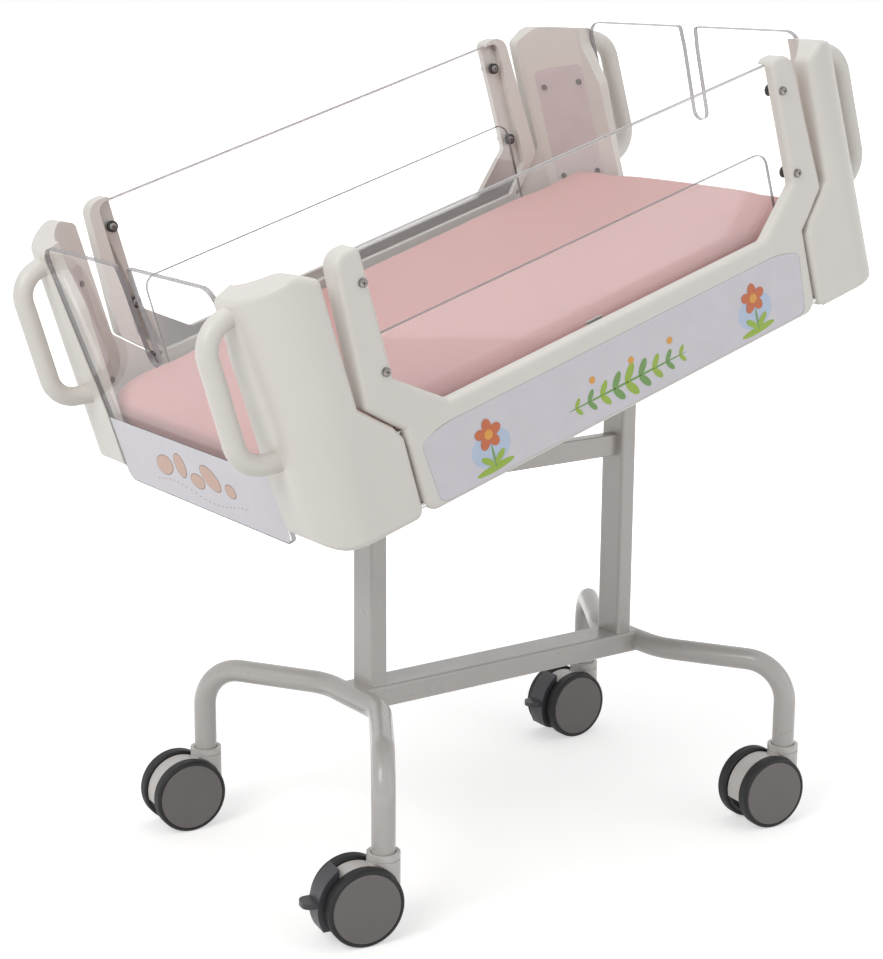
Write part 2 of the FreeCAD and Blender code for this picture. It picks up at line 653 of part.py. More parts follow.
def pivot_cheeks(name, x, z, foot, rise_to):
    """Two plates with a pin between them, which hold the eye of the gas spring."""
    half = "(eye_width / 2 + clearance)"
    part = body(name)
    outline = [("%s - lug_width / 2" % x, foot), ("%s - lug_width / 2" % x, rise_to, "lug_width / 2 - 1"),
               ("%s + lug_width / 2" % x, rise_to, "lug_width / 2 - 1"), ("%s + lug_width / 2" % x, foot)]
    pad(part, sketch(part, "XZ_Plane", [outline]), "2 * (%s + lug_wall)" % half, midplane=True)
    left, right = "%s - lug_width" % x, "%s + lug_width" % x
    low, high = "%s - 2 * lug_width" % z, "%s + 2 * lug_width" % z
    gap = [(left, low), (right, low), (right, high), (left, high)]
    pocket(part, sketch(part, "XZ_Plane", [gap]), "2 * " + half, midplane=True)
    pad(part, sketch(part, "XZ_Plane", [(x, z, "spring_pin")]), "2 * %s + 1" % half, midplane=True)
    return part


def spring_bracket():
    top = "rail_bottom + rail_height"
    plate = box("spring_plate", "lug_width + 2 * plate_lap", "rail_width", "lug_wall",
                "spring_foot - lug_width / 2 - plate_lap",
                "-rail_width / 2", top)
    cheeks = pivot_cheeks("spring_cheeks", "spring_foot", "spring_height", top,
                          "spring_height + eye_radius + eye_clear")
    return join("gas_spring_bracket", [plate, cheeks])


def seat_spring(feature):
    return place(feature, "spring_foot", 0, "spring_height", "-atan2(spring_dz; spring_dx)", (0, 1, 0))


def spring_eye(name, x, bore):
    ring = cross_cylinder(name, "eye_radius", "eye_width", x, "-eye_width / 2", "0")
    hole = cross_cylinder(name + "_hole", bore, "2 * eye_width", x, "-eye_width", "0")
    return ring, hole


def gas_cylinder():
    ring, hole = spring_eye("cylinder_eye", "0", "spring_pin + running")
    neck = box("cylinder_neck", "cylinder_start", "eye_width - 2", "eye_width - 2", "1", "1 - eye_width / 2",
               "1 - eye_width / 2")
    barrel = long_cylinder("cylinder_barrel", "cylinder_radius", "cylinder_length", "cylinder_start", "0",
                           "0")
    bore = long_cylinder("cylinder_bore", "rod_radius + running", "cylinder_length",
                         "cylinder_start + eye_width / 2", "0", "0")
    return cut("gas_spring_cylinder", join("cylinder_solid", [ring, neck, barrel]),
               join("cylinder_waste", [hole, bore]))


def gas_rod():
    start = "(cylinder_start + cylinder_length - rod_inset + eye_width / 2)"
    shank = long_cylinder("rod_shank", "rod_radius", "spring_length - %s - spring_pin" % start, start, "0",
                          "0")
    ring, hole = spring_eye("rod_eye", "spring_length", "spring_pin + eye_play")
    return cut("gas_spring_rod", join("rod_solid", [shank, ring]), hole)


def build_base():
    keep(lower_beam(), "lower_beam")
    rail = square_tube("upper_beam", "YZ_Plane", "-(post_spacing - post_depth) / 2",
                       "post_spacing - post_depth",
                       "rail_width / 2", "rail_height / 2", "rail_wall", "rail_corner",
                       ("0", "rail_bottom + rail_height / 2"))
    keep(rail, "upper_beam")
    for name, x, top in (("foot_post", "-post_spacing / 2", "foot_post_top"),
                         ("head_post", "post_spacing / 2", "post_top_head")):
        post = square_tube(name, "XY_Plane", "beam_top", "(%s) - beam_top" % top, "post_depth / 2",
                           "post_width / 2", "post_wall", "post_corner", (x, "0"))
        keep(post, name)
    keep(leg("foot_leg", -1), "foot_leg")
    keep(leg("head_leg", 1), "head_leg")
    for piece in (bolts(), hinge_fork(), hinge_pin(), rest_buffer(), spring_bracket()):
        keep(piece, piece.Name)
    for piece in (gas_cylinder(), gas_rod()):
        keep(seat_spring(piece), piece.Name)


# ----------------------------------------------------------------------------------- crib: deck and mattress

def rounded_plate(name, half_x, half_y, corner, low, height):
    part = body(name)
    outline = [("-" + half_x, "-" + half_y, corner), (half_x, "-" + half_y, corner),
               (half_x, half_y, corner), ("-" + half_x, half_y, corner)]
    pad(part, sketch(part, "XY_Plane", [outline], low), height)
    return part


def deck_frame():
    """A ladder of square tubes with the tilt barrel, the gas spring's lugs and the shaft's bearings."""
    crosses = ("-deck_end + tube / 2", "rest_along", "spring_head_along", "hinge_along",
               "deck_end - tube / 2")
    solids, hollows = [], []
    for side in (-1, 1):
        low_y = "%d * tube_side - tube / 2" % side
        solids.append(box("deck_rail%d" % (side + 1), "2 * deck_end", "tube", "tube", "-deck_end", low_y,
                          "deck_low"))
        hollows.append(box("deck_rail_bore%d" % (side + 1), "2 * (deck_end - tube_wall)",
                           "tube - 2 * tube_wall",
                           "tube - 2 * tube_wall", "-deck_end + tube_wall", low_y + " + tube_wall",
                           "deck_low + tube_wall"))
        tab_y = "low_offset - low_wall / 2 - tab_wall" if side > 0 else "-low_offset + low_wall / 2"
        solids.append(box("deck_tab%d" % (side + 1), "tab_width", "tab_wall", "tab_top - deck_low",
                          "-tab_width / 2", tab_y, "deck_low"))
        solids.append(box("shaft_lug%d" % (side + 1), "2 * shaft_lug", "shaft_lug_wall",
                          "shaft_drop + shaft_lug",
                          "shaft_along - shaft_lug", "%d * tube_side - shaft_lug_wall / 2" % side,
                          "deck_low - shaft_drop - shaft_lug"))
    for number, x in enumerate(crosses):
        solids.append(box("deck_cross%d" % number, "tube", "2 * tube_side", "tube", x + " - tube / 2",
                          "-tube_side", "deck_low"))
        hollows.append(box("deck_cross_bore%d" % number, "tube - 2 * tube_wall", "2 * tube_side",
                           "tube - 2 * tube_wall", x + " - tube / 2 + tube_wall", "-tube_side",
                           "deck_low + tube_wall"))
    for side_x in (-1, 1):
        for side_y in (-1, 1):
            solids.append(gusset("deck_gusset%d" % len(solids), side_x, side_y))
    solids.append(pivot_cheeks("deck_cheeks", "spring_head_along", "spring_head_z", "deck_low",
                               "spring_head_z - eye_radius - eye_clear"))
    solids.append(cross_cylinder("tilt_barrel", "barrel_radius", "barrel_length", "hinge_along",
                                 "-barrel_length / 2", "hinge_rise"))
    solids.append(box("barrel_web", "barrel_radius", "barrel_length", "hinge_drop",
                      "hinge_along - barrel_radius / 2", "-barrel_length / 2", "hinge_rise"))
    hollows.append(cross_cylinder("barrel_bore", "pin_radius + running", "2 * barrel_length", "hinge_along",
                                  "-barrel_length", "hinge_rise"))
    hollows.append(cross_cylinder("shaft_bore", "shaft_radius + running", "2 * tub_width", "shaft_along",
                                  "-tub_width", "deck_low - shaft_drop"))
    return cut("deck_frame", join("deck_solid", solids), join("deck_waste", hollows))


def gusset(name, side_x, side_y):
    """A corner plate under the foot of each corner shell."""
    part = body(name)
    x, y = "%d * deck_end" % side_x, "%d * (corner_side - skirt_wall - gap)" % side_y
    outline = [("%s - %d * gusset" % (x, side_x), "%s - %d * gusset" % (y, side_y)),
               (x, "%s - %d * gusset" % (y, side_y)), (x, y, "corner_foot_round"),
               ("%s - %d * gusset" % (x, side_x), y)]
    pad(part, sketch(part, "XY_Plane", [outline], "deck_top - deck_wall"), "deck_wall")
    return part


def release_shaft():
    """A cross shaft with a paddle at each side; its finger presses the valve of the gas spring."""
    z = "deck_low - shaft_drop"
    half = "(tube_side + shaft_lug_wall / 2)"
    solids = [cross_cylinder("shaft_rod", "shaft_radius", "2 * " + half, "shaft_along", "-" + half, z),
              box("shaft_finger", "finger_length", "finger_width", "finger_wall", "shaft_along",
                  "-finger_width / 2", z + " - finger_wall / 2")]
    for side in (-1, 1):
        y = "paddle_place" if side > 0 else "-paddle_place - paddle_width"
        solids.append(box("shaft_paddle%d" % (side + 1), "paddle_length", "paddle_width", "paddle_wall",
                          "shaft_along - paddle_length", y, z + " - paddle_wall"))
    return join("release_shaft", solids)


# ------------------------------------------------------------------------------------------- crib: drop sides

def side_frame():
    """One side's moulded frame: two posts on a deep rail, with a seat inside for the clear sheet."""
    part = body("side_frame_moulding")
    right = [("skirt_half", "0", "bottom_round"), ("skirt_half + skirt_draft", "skirt_top"),
             ("skirt_half + shoulder_flare", "shoulder_low_z", "inner_round"),
             ("frame_half", "shoulder", "inner_round"), ("frame_half - post_lean", "frame_top", "post_round"),
             ("frame_inner", "frame_top", "inner_round"), ("frame_inner", "inner_shoulder", "inner_round"),
             ("inner_foot", "rail_top", "inner_round")]
    pad(part, sketch(part, "XZ_Plane", [both_sides(right)], "-frame_in"), "frame_depth", back=True)

    round_edges(part, "frame_round", lambda edge: edge.BoundBox.YMin > value("frame_outer - clearance"))
    pocket(part, sketch(part, "XZ_Plane", [tall_outline("clearance")], "-frame_in"), "tall_out - frame_in")
    panel = both_sides([("panel_foot", "panel_low", "panel_round"),
                        ("panel_half", "panel_shoulder", "panel_round"),
                        ("panel_flat", "panel_top", "panel_round")])
    pocket(part, sketch(part, "XZ_Plane", [panel], "-frame_outer"), "panel_depth", back=True)
    return part


def both_sides(right):
    """A closed outline from its right half, listed anticlockwise from the bottom."""
    left = [("-(%s)" % corner[0],) + tuple(corner[1:]) for corner in reversed(right)]
    return right + left


def tall_outline(gap):
    edge = "tall_half + %s" % gap
    return both_sides([("tall_half - tall_cut", "tall_bottom - %s" % gap), (edge, "tall_bottom + tall_cut"),
                       (edge, "tall_top + %s" % gap, "tall_round")])


def clear_sheet(name, outline, inner_y, wall):
    part = body(name)
    pad(part, sketch(part, "XZ_Plane", [outline], "-(%s)" % inner_y), wall, back=True)
    return part


def low_outline():
    return both_sides([("low_half", "low_bottom", "low_foot_round"), ("low_half", "low_top", "low_round")])


def side_screws():
    """Domed heads on both faces of each post, where the clear sheet is clamped to the frame."""
    heads = []
    for side in (-1, 1):
        for z in ("screw_low", "screw_high"):
            for y, number in (("frame_outer", 0), ("tall_out - tall_wall - screw_head_height", 1)):
                heads.append(cross_cylinder("side_screw%d" % len(heads), "screw_head", "screw_head_height",
                                            "%d * screw_x" % side, y, z))
    return group("side_screw_heads", heads)


# ---------------------------------------------------------------------------------------- crib: corner shells

def corner_envelope():
    """The outside of a corner: its side view crossed with a plan that grows rounder towards the top."""
    profile = body("corner_profile")
    beyond = "corner_reach + crown_round"
    outline = [("skirt_half + gap", "0", "shell_toe_round"), ("corner_foot + gap", "0", "shell_foot_round"),
               (beyond, "corner_end_top - end_slope"), ("corner_reach", "corner_end_top"),
               ("corner_reach - crown_inset", "corner_top", "crown_round"),
               ("mouth + mouth_lean", "corner_gap_top", "mouth_round"),
               ("mouth", "shoulder + gap", "mouth_round"),
               ("skirt_half + shoulder_flare - skirt_draft", "shoulder_low_z - gap", "mouth_round"),
               ("skirt_half + gap", "skirt_top - corner_edge", "mouth_round")]
    pad(profile, sketch(profile, "XZ_Plane", [outline]), "tub_width", back=True)
    plan = body("corner_plan")
    inside_x, inside_y = "skirt_half", "flange_half / 2"

    def section(reach, turn, height):
        corners = [(inside_x, inside_y), (reach, inside_y), (reach, "corner_side", turn),
                   (inside_x, "corner_side")]
        return sketch(plan, "XY_Plane", [corners], height)

    loft = plan.newObject("PartDesign::AdditiveLoft", "corner_loft")
    loft.Profile = section("corner_foot", "corner_foot_round", "0")
    loft.Sections = [section("corner_reach", "corner_round", "frame_top")]
    doc.recompute()
    return overlap("corner_envelope", [profile, plan])


def corner_rim(shape):
    """The numbers of the edges where the outer skin meets the top, the gap and the bottom."""
    def is_skin(face):
        middle = [sum(face.ParameterRange[0:2]) / 2, sum(face.ParameterRange[2:4]) / 2]
        normal = face.normalAt(*middle)
        centre = face.CenterOfMass
        return (abs(normal.y) > 0.05 and centre.y > value("flange_half")) or (
            abs(normal.x) > 0.98 and centre.x > value("corner_reach - crown_inset"))

    picked = []
    for number, edge in enumerate(shape.Edges, start=1):
        faces = [face for face in shape.Faces if any(edge.isSame(other) for other in face.Edges)]
        skins = [face for face in faces if is_skin(face)]
        rims = [face for face in faces if not is_skin(face) and abs(
            face.normalAt(*[sum(face.ParameterRange[i:i + 2]) / 2 for i in (0, 2)]).y) < 0.01]
        if len(skins) == 1 and len(rims) == 1:
            picked.append(number)
    return picked


def cover_plate():
    """A curved plate let into the inner face of a corner."""
    window = body("cover_window")
    outline = [("-cover_half", "cover_bottom"), ("cover_half", "cover_bottom"),
               ("cover_half", "cover_top", "cover_round"), ("-cover_half", "cover_top", "cover_round")]
    pad(window, sketch(window, "YZ_Plane", [outline], "hollow_radius / 2"), "hollow_radius")
    place(window, "hollow_x", "hollow_y", 0, "cover_angle")
    outer = cylinder("cover_outer", "hollow_radius + cover_wall", "frame_top", "hollow_x", "hollow_y")
    inner = cylinder("cover_inner", "hollow_radius", "frame_top", "hollow_x", "hollow_y")
    return overlap("cover_plate_head_far", [cut("cover_ring", outer, inner), window])


def cover_screws():
    heads = []
    reach = "(hollow_radius - small_height - clearance / 3)"
    for side in (-1, 1):
        for z in ("cover_bottom + cover_screw_rise", "cover_top - cover_screw_drop"):
            angle = "(cover_angle + %d * cover_screw_turn)" % side
            head = doc.addObject("Part::Cylinder", "cover_screw%d" % len(heads))
            bind(head, Radius="small_head", Height="small_height")
            bind(head, Placement="placement(vector(hollow_x + %s * cos%s; hollow_y + %s * sin%s; %s);"
                 " rotation(vector(-sin%s; cos%s; 0); 90))" % (reach, angle, reach, angle, z, angle, angle))
            heads.append(head)
    return heads


def end_sheet(name, gap="0", wall="end_wall"):
    """The clear end sheet with its hand slot; it leans outward, its outer face flush with the corners."""
    part = body(name)
    edge = [("flange_half + foot_lap + %s" % gap, "end_bottom", "end_foot_round"),
            ("flange_half + waist_lap + %s" % gap, "waist", "waist_round"),
            ("flange_half + end_lap + %s" % gap, "end_top + %s" % gap, "end_round")]
    if gap == "0":
        edge += [("slot_half + slot_mouth / 2", "end_top", "slot_mouth"),
                 ("slot_half", "end_top - slot_bevel", "slot_bevel"),
                 ("slot_half", "slot_bottom", "slot_half - 0.5")]
    pad(part, sketch(part, "YZ_Plane", [both_sides(edge)], "-end_wall"), wall)
    return place(part, "end_foot", 0, 0, "end_lean", (0, 1, 0))


def corner_shell():
    """A moulded corner, hollow under its skirt and open to the end sheet, with a grab handle outside."""
    envelope = corner_envelope()
    doc.recompute()
    rounded = doc.addObject("Part::Fillet", "corner_rounded")
    rounded.Base = envelope
    radius = value("corner_edge")
    rounded.Edges = [(number, radius, radius) for number in corner_rim(envelope.Shape)]
    doc.recompute()
    room = overlap("corner_room", [
        cylinder("corner_room_round", "hollow_radius", "3 * frame_top", "hollow_x", "hollow_y", "-frame_top"),
        box("corner_room_box", "inner_limit", "inner_side", "3 * frame_top", "0", "0", "-frame_top")])
    beyond = body("corner_beyond")
    flange_top = "flange_half + end_lap + clearance"
    outline = [("0", "-frame_top"), ("flange_half", "-frame_top"),
               ("flange_half", "corner_end_top - flange_slope", "end_round"),
               (flange_top, "corner_end_top - end_step", "end_round"), (flange_top, "2 * frame_top"),
               ("0", "2 * frame_top")]
    pad(beyond, sketch(beyond, "YZ_Plane", [outline]), "2 * corner_reach")
    hollow = body("corner_hollow")
    wall_x, wall_y = "skirt_half + gap + skirt_wall", "corner_side - skirt_wall"
    outline = [("0", "0"), ("inner_limit", "0"), ("inner_limit", wall_y, "corner_foot_round"),
               (wall_x, wall_y),
               (wall_x, "inner_side - clearance"), ("0", "inner_side - clearance")]
    pad(hollow, sketch(hollow, "XY_Plane", [outline], "-1"), "corner_seat + 1")
    rebate = end_sheet("corner_rebate", "clearance", "4 * end_wall")
    waste = join("corner_waste", [room, beyond, hollow, rebate])
    handle_points = [(x, "handle_y", z) for x, z in (
        ("handle_root", "handle_top + handle_flare"), ("handle_reach", "handle_top"),
        ("handle_reach", "handle_low"), ("handle_root", "handle_low - handle_flare"))]
    path = tube_path("corner_handle", handle_points, ["handle_bend", "handle_bend"])
    handle = swept_tube("corner_handle", path, "handle_radius", handle_points[0], "90", (0, 1, 0))
    return join("corner_solid", [cut("corner_block", rounded, waste), handle])


def corner_pins():
    """Hinge pin and catch stud of one corner, both let into the shell's edge beside the drop side."""
    hinge_start = "skirt_half - side_pin_depth"
    hinge = long_cylinder("corner_hinge_pin", "side_pin_radius", "side_pin_depth + gap + skirt_wall",
                          hinge_start,
                          "side_pin_y", "side_pin_z")
    stud = long_cylinder("corner_stud", "catch_radius", "catch_length", "skirt_half - catch_depth", "catch_y",
                         "catch_z")
    return hinge, stud


def side_bores():
    """Bores for the hinge pins and grooves for the studs, open towards the tub, at both ends of a side."""
    tools = []
    for side in (-1, 1):
        start = "skirt_half - side_pin_depth - clearance" if side > 0 else "-skirt_half - 1"
        tools.append(long_cylinder("side_bore%d" % (side + 1), "side_pin_radius + running",
                                   "side_pin_depth + clearance + 1", start, "side_pin_y", "side_pin_z"))
        groove = "skirt_half - catch_depth - 1" if side > 0 else "-skirt_half - 4"
        tools.append(long_cylinder("side_groove%d" % (side + 1), "catch_radius + clearance",
                                   "catch_depth + 5",
                                   groove, "catch_y", "catch_z"))
        tools.append(box("side_groove_run%d" % (side + 1), "catch_depth + 5", "catch_y - frame_in + 1",
                         "2 * (catch_radius + clearance)", groove, "frame_in - 1",
                         "catch_z - catch_radius - clearance"))
    return join("side_bores", tools)


ACROSS, ALONG = (0, 1, 0), (1, 0, 0)


def build_crib():
    keep(seat_in_crib(deck_frame()), "deck_frame")
    deck = rounded_plate("deck_plate", "deck_end", "(low_offset - low_wall / 2)", "deck_round", "deck_top",
                         "deck_wall")
    keep(seat_in_crib(cut("mattress_deck_cut", deck, deck_tab_room())), "mattress_deck")
    mattress = rounded_plate("mattress", "mattress_half", "mattress_side", "mattress_round",
                             "mattress_low + clearance", "mattress_height")
    keep(seat_in_crib(mattress), "mattress")
    keep(seat_in_crib(release_shaft()), "release_shaft")

    side = cut("side_frame_cut", side_frame(), side_bores())
    tall = clear_sheet("tall_sheet", tall_outline("0"), "tall_out - tall_wall", "tall_wall")
    low = clear_sheet("low_sheet", low_outline(), "low_offset - low_wall / 2", "low_wall")
    screws = side_screws()
    for name, source in (("side_frame", side), ("tall_sheet", tall), ("low_sheet", low),
                         ("side_screws", screws)):
        keep(seat_in_crib(mirror(name + "_near_copy", source, ACROSS)), name + "_near")
        keep(seat_in_crib(group(name + "_far_copy", [source])), name + "_far")

    hinge, stud = corner_pins()
    plate = cover_plate()
    bores = join("corner_pin_bores", [hinge, stud])
    shell = cut("corner_shell", corner_shell(), join("corner_fittings", [plate, bores]))
    heads = cover_screws()
    covers, pins, small = [], [], []
    for x_name, side_x in (("foot", -1), ("head", 1)):
        for y_name, side_y in (("near", -1), ("far", 1)):
            corner = "%s_%s" % (x_name, y_name)
            keep(seat_in_crib(mirrored("corner_shell_" + corner, shell, side_x, side_y)),
                 "corner_shell_" + corner)
            covers.append(mirrored("cover_" + corner, plate, side_x, side_y))
            for number, pin in enumerate((hinge, stud)):
                pins.append(mirrored("pin%d_%s" % (number, corner), pin, side_x, side_y))
            for number, head in enumerate(heads):
                small.append(mirrored("screw%d_%s" % (number, corner), head, side_x, side_y))
    for side_y in (-1, 1):
        y = "low_offset + low_wall / 2" if side_y > 0 else "-low_offset - low_wall / 2 - small_height"
        for number, (x, z) in enumerate((("0", "tab_top - 2 * small_head"),
                                         ("-low_screw_x", "deck_low + tube / 2"),
                                         ("low_screw_x", "deck_low + tube / 2"))):
            small.append(cross_cylinder("low_screw%d_%d" % (number, side_y + 1), "small_head", "small_height",
                                        x, y, z))
    keep(seat_in_crib(group("cover_plates", covers)), "cover_plates")
    keep(seat_in_crib(group("side_pins", pins)), "side_pins")
    keep(seat_in_crib(group("crib_screws", small)), "crib_screws")

    sheet_head = end_sheet("end_sheet")
    keep(seat_in_crib(group("end_sheet_head_copy", [sheet_head])), "end_sheet_head")
    keep(seat_in_crib(mirror("end_sheet_foot_copy", sheet_head, ALONG)), "end_sheet_foot")


def deck_tab_room():
    return join("deck_tab_room", [box("tab_room%d" % (side + 1), "tab_width", "tab_wall + 1", "3 * tab_top",
                                      "-tab_width / 2", y, "-tab_top")
                                  for side, y in ((-1, "-low_offset + low_wall / 2 - 1"),
                                                  (1, "low_offset - low_wall / 2 - tab_wall"))])


def mirrored(name, source, side_x, side_y):
    """The head-far piece, or its mirror image in another corner."""
    if side_y < 0:
        source = mirror(name + "_across", source, ACROSS)
    if side_x < 0:
        source = mirror(name + "_along", source, ALONG)
    return group(name, [source])


build_base()
build_crib()
doc.recompute()

for feature in doc.Objects:
    if "Invalid" in feature.State or "Error" in feature.State:
        raise RuntimeError("failed: %s %s" % (feature.Name, feature.State))
for feature in NODES:
    if feature.Shape.isNull() or not feature.Shape.isValid():
        raise RuntimeError("bad shape: " + feature.Label)

os.makedirs("parts", exist_ok=True)
for feature in NODES:
    feature.Shape.exportStep(os.path.join("parts", feature.Label + ".step"))
print("wrote %d parts" % len(NODES))
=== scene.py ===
"""Hospital bassinet: finishes, padded mattress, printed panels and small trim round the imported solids."""

import math

import bmesh
import bpy
from mathutils import Matrix, Vector


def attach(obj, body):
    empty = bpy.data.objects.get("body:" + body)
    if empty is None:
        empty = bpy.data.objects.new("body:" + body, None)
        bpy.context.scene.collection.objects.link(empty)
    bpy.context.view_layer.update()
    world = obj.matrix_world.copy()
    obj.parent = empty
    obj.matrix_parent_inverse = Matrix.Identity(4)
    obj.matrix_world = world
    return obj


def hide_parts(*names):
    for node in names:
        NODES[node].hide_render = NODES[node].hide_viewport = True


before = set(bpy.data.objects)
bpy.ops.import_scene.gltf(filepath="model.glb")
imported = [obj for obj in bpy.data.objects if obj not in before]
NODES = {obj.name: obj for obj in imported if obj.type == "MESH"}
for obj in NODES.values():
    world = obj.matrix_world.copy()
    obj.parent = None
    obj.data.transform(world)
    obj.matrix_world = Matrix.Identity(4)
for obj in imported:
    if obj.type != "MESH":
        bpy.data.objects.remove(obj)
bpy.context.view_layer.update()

bl_info = {
    "name": "Hospital bassinet",
    "version": (1, 0, 0),
    "blender": (4, 5, 0),
    "location": "3D View > Sidebar > Bassinet",
    "description": "Dresses the bassinet's frame with its mattress, prints, trim and finishes",
    "category": "Object",
}

MM = 0.001

# Sheets, prints and screws, in millimetres in the crib's own level frame.
PANEL_RECESS = 307.1
END_LEAN = math.radians(2.9)
END_FACE = 455 - 320 * math.tan(END_LEAN) + 0.05
END_FILM = 0.3
FREE_EDGE = 300
RIBBON_LIFT = 0.06
SCREW_ACROSS = 322
SCREW_ROWS = (289, 182.5)
SCREW_OUTSIDE = 310.5
SCREW_INSIDE = 288.4

# The knit of the mattress cover in millimetres, and the wave texture's own length at a scale of 1.
KNIT = 1.6
WAVE_LENGTH = 20

# Cloth simulation of the mattress: its voxels in millimetres, and how long it runs.
VOXEL = 6.5
FRAMES = 20

# The camera: its place in metres, its turns in degrees, and its focal length and height in pixels.
CAMERA_PLACE = (-1.71735, -2.28431, 1.1702)
CAMERA_TURN, CAMERA_RISE, CAMERA_ROLL = -35.38, 13.51, 0.44
FOCAL_LENGTH, FRAME_HEIGHT, SENSOR = 2185.2, 959, 36

# Each lamp: name, place, width in metres, power in watts. All of them look at the aim.
AIM = Vector((0, 0, 0.7))
LAMPS = (("key_softbox", (-3.1, -1.1, 2.8), 1.8, 52),
         ("top_softbox", (0.2, 0.2, 4.0), 2.4, 28),
         ("fill_softbox", (1.8, -2.7, 1.25), 2.2, 14))

# The crib is described level, and turned about the hinge on the head post to how it rests.
TILT = math.radians(17)
HINGE = Vector((0.208, 0, 0.725))
HINGE_IN_CRIB = Vector((0.2515, 0, 0.012))
CRIB = Matrix.Translation(HINGE) @ Matrix.Rotation(-TILT, 4, "Y") @ Matrix.Translation(-HINGE_IN_CRIB)


def linear(code, alpha=1.0):
    """An sRGB hex colour as the linear numbers that sockets take."""
    parts = [int(code[i:i + 2], 16) / 255 for i in (1, 3, 5)]
    return (*[p / 12.92 if p <= 0.04045 else ((p + 0.055) / 1.055) ** 2.4 for p in parts], alpha)


def hex_colour(name, text, code):
    """A colour property with an sRGB default."""
    return bpy.props.FloatVectorProperty(
        name=name, description=text, subtype="COLOR", size=4, min=0, max=1, default=linear(code))


def length(name, text, millimetres, most=1000):
    """A length property whose default is given in millimetres."""
    return bpy.props.FloatProperty(
        name=name, description=text, unit="LENGTH", subtype="DISTANCE", min=0, max=most * MM,
        default=millimetres * MM)


class BassinetSizes(bpy.types.PropertyGroup):
    mattress_length: length("Mattress length", "Length of the foam before its cover is filled", 850)
    mattress_width: length("Mattress width", "Width of the foam before its cover is filled", 518)
    mattress_low: length("Mattress underside", "Height of the underside over the crib's base line", 57)
    mattress_high: length("Mattress top", "Height of the top before it is filled", 99)
    mattress_corner: length("Mattress corner", "Plan radius of the mattress corners", 50)
    mattress_edge: length("Mattress edge", "Radius along the top edge", 13)
    head_rise: length("Head rise", "How much thicker the foam is at its head end", 7, 30)
    crown: length("Crown", "Furthest that the cover swells upward", 9, 30)
    swell: length("Swell", "Furthest that the cover swells sideways", 4, 30)
    film: length("Panel film", "Thickness of the printed panels", 0.8, 5)
    # rim and chamfer size painted ribbons: the dark lines are painted shade and the milky bands painted light
    # along the clear sheets' edges
    ink: length("Print layer", "Height of each layer of colour on a panel", 0.12, 1)
    rim: length("Rim line", "Width of the fine dark lines along the sheets' edges", 0.9, 5)
    chamfer: length("Chamfer", "Width of the milky band along the tall sheets' edges", 2.2, 5)
    spacer_radius: length("Spacer radius", "Outside radius of the rubber spacers", 7.6, 20)
    spacer_height: length("Spacer height", "Thickness of the rubber spacers", 5, 10)


class BassinetColours(bpy.types.PropertyGroup):
    shell: hex_colour("Shell", "Ivory of the corner shells and side frames", "#E1DDD6")
    mattress: hex_colour("Mattress", "Pink of the mattress cover", "#CD9B97")
    paint: hex_colour("Base paint", "Warm grey of the steel base", "#BCB8B4")
    film: hex_colour("Panel", "Cool white of the printed panels", "#D6D3D9")
    leaf: hex_colour("Leaf", "Bright green of the prints", "#98B63C")
    deep_leaf: hex_colour("Deep leaf", "Shaded green of the prints", "#6E9950")
    petal: hex_colour("Petal", "Orange brown of the prints", "#C8693C")
    heart: hex_colour("Flower heart", "Yellow of the prints", "#E2A143")
    shade: hex_colour("Shade", "Pale blue behind the flowers", "#BCCBE0")
    pebble: hex_colour("Pebble", "Tan of the end panels' prints", "#CDA896")
    outline: hex_colour("Outline", "Brown lines of the end panels' prints", "#6E4C40")


def sizes():
    return bpy.context.scene.bassinet_sizes


def colours():
    return bpy.context.scene.bassinet_colours


# Materials

def add_node(tree, kind, sockets=None, **settings):
    """Adds a node, sets what it has and links the sockets that are given another node's output."""
    made = tree.nodes.new(kind)
    for name, setting in settings.items():
        setattr(made, name, setting)
    for name, given in (sockets or {}).items():
        if isinstance(given, bpy.types.NodeSocket):
            tree.links.new(given, made.inputs[name])
        else:
            made.inputs[name].default_value = given
    return made


def principled(name, colour, roughness, **more):
    """A new material of one Principled shader: its tree, shader and Object coordinates."""
    material = bpy.data.materials.new(name)
    material.use_nodes = True
    tree = material.node_tree
    tree.nodes.clear()
    shader = add_node(tree, "ShaderNodeBsdfPrincipled", {
        "Base Color": colour, "Roughness": roughness, **more})
    output = add_node(tree, "ShaderNodeOutputMaterial")
    tree.links.new(shader.outputs["BSDF"], output.inputs["Surface"])
    place = add_node(tree, "ShaderNodeTexCoord").outputs["Object"]
    material.diffuse_color = colour
    return material, tree, shader, place


def tinted(colour, share):
    """A colour made lighter or darker by a share of itself."""
    return (*[min(1, c * (1 + share)) for c in colour[:3]], 1)


def cloud(tree, place, feature, detail=2.0):
    """Noise whose features are as large as the length given in millimetres."""
    return add_node(tree, "ShaderNodeTexNoise", {
        "Vector": place, "Scale": 1 / (feature * MM), "Detail": detail})


def vary_colour(tree, shader, place, colour, feature, share):
    """Lets the colour drift a little between two tints, over patches of the given size in millimetres."""
    ramp = add_node(tree, "ShaderNodeValToRGB", {"Fac": cloud(tree, place, feature).outputs["Fac"]})
    ramp.color_ramp.elements[0].color = tinted(colour, -share)
    ramp.color_ramp.elements[1].color = tinted(colour, share)
    ramp.color_ramp.elements[0].position = 0.3
    ramp.color_ramp.elements[1].position = 0.7
    tree.links.new(ramp.outputs["Color"], shader.inputs["Base Color"])


def vary_roughness(tree, shader, place, feature, low, high):
    """Lets the roughness drift between two values, over patches of the given size in millimetres."""
    drift = add_node(tree, "ShaderNodeMapRange", {
        "Value": cloud(tree, place, feature, 4).outputs["Fac"],
        "From Min": 0.3, "From Max": 0.7, "To Min": low, "To Max": high})
    tree.links.new(drift.outputs["Result"], shader.inputs["Roughness"])


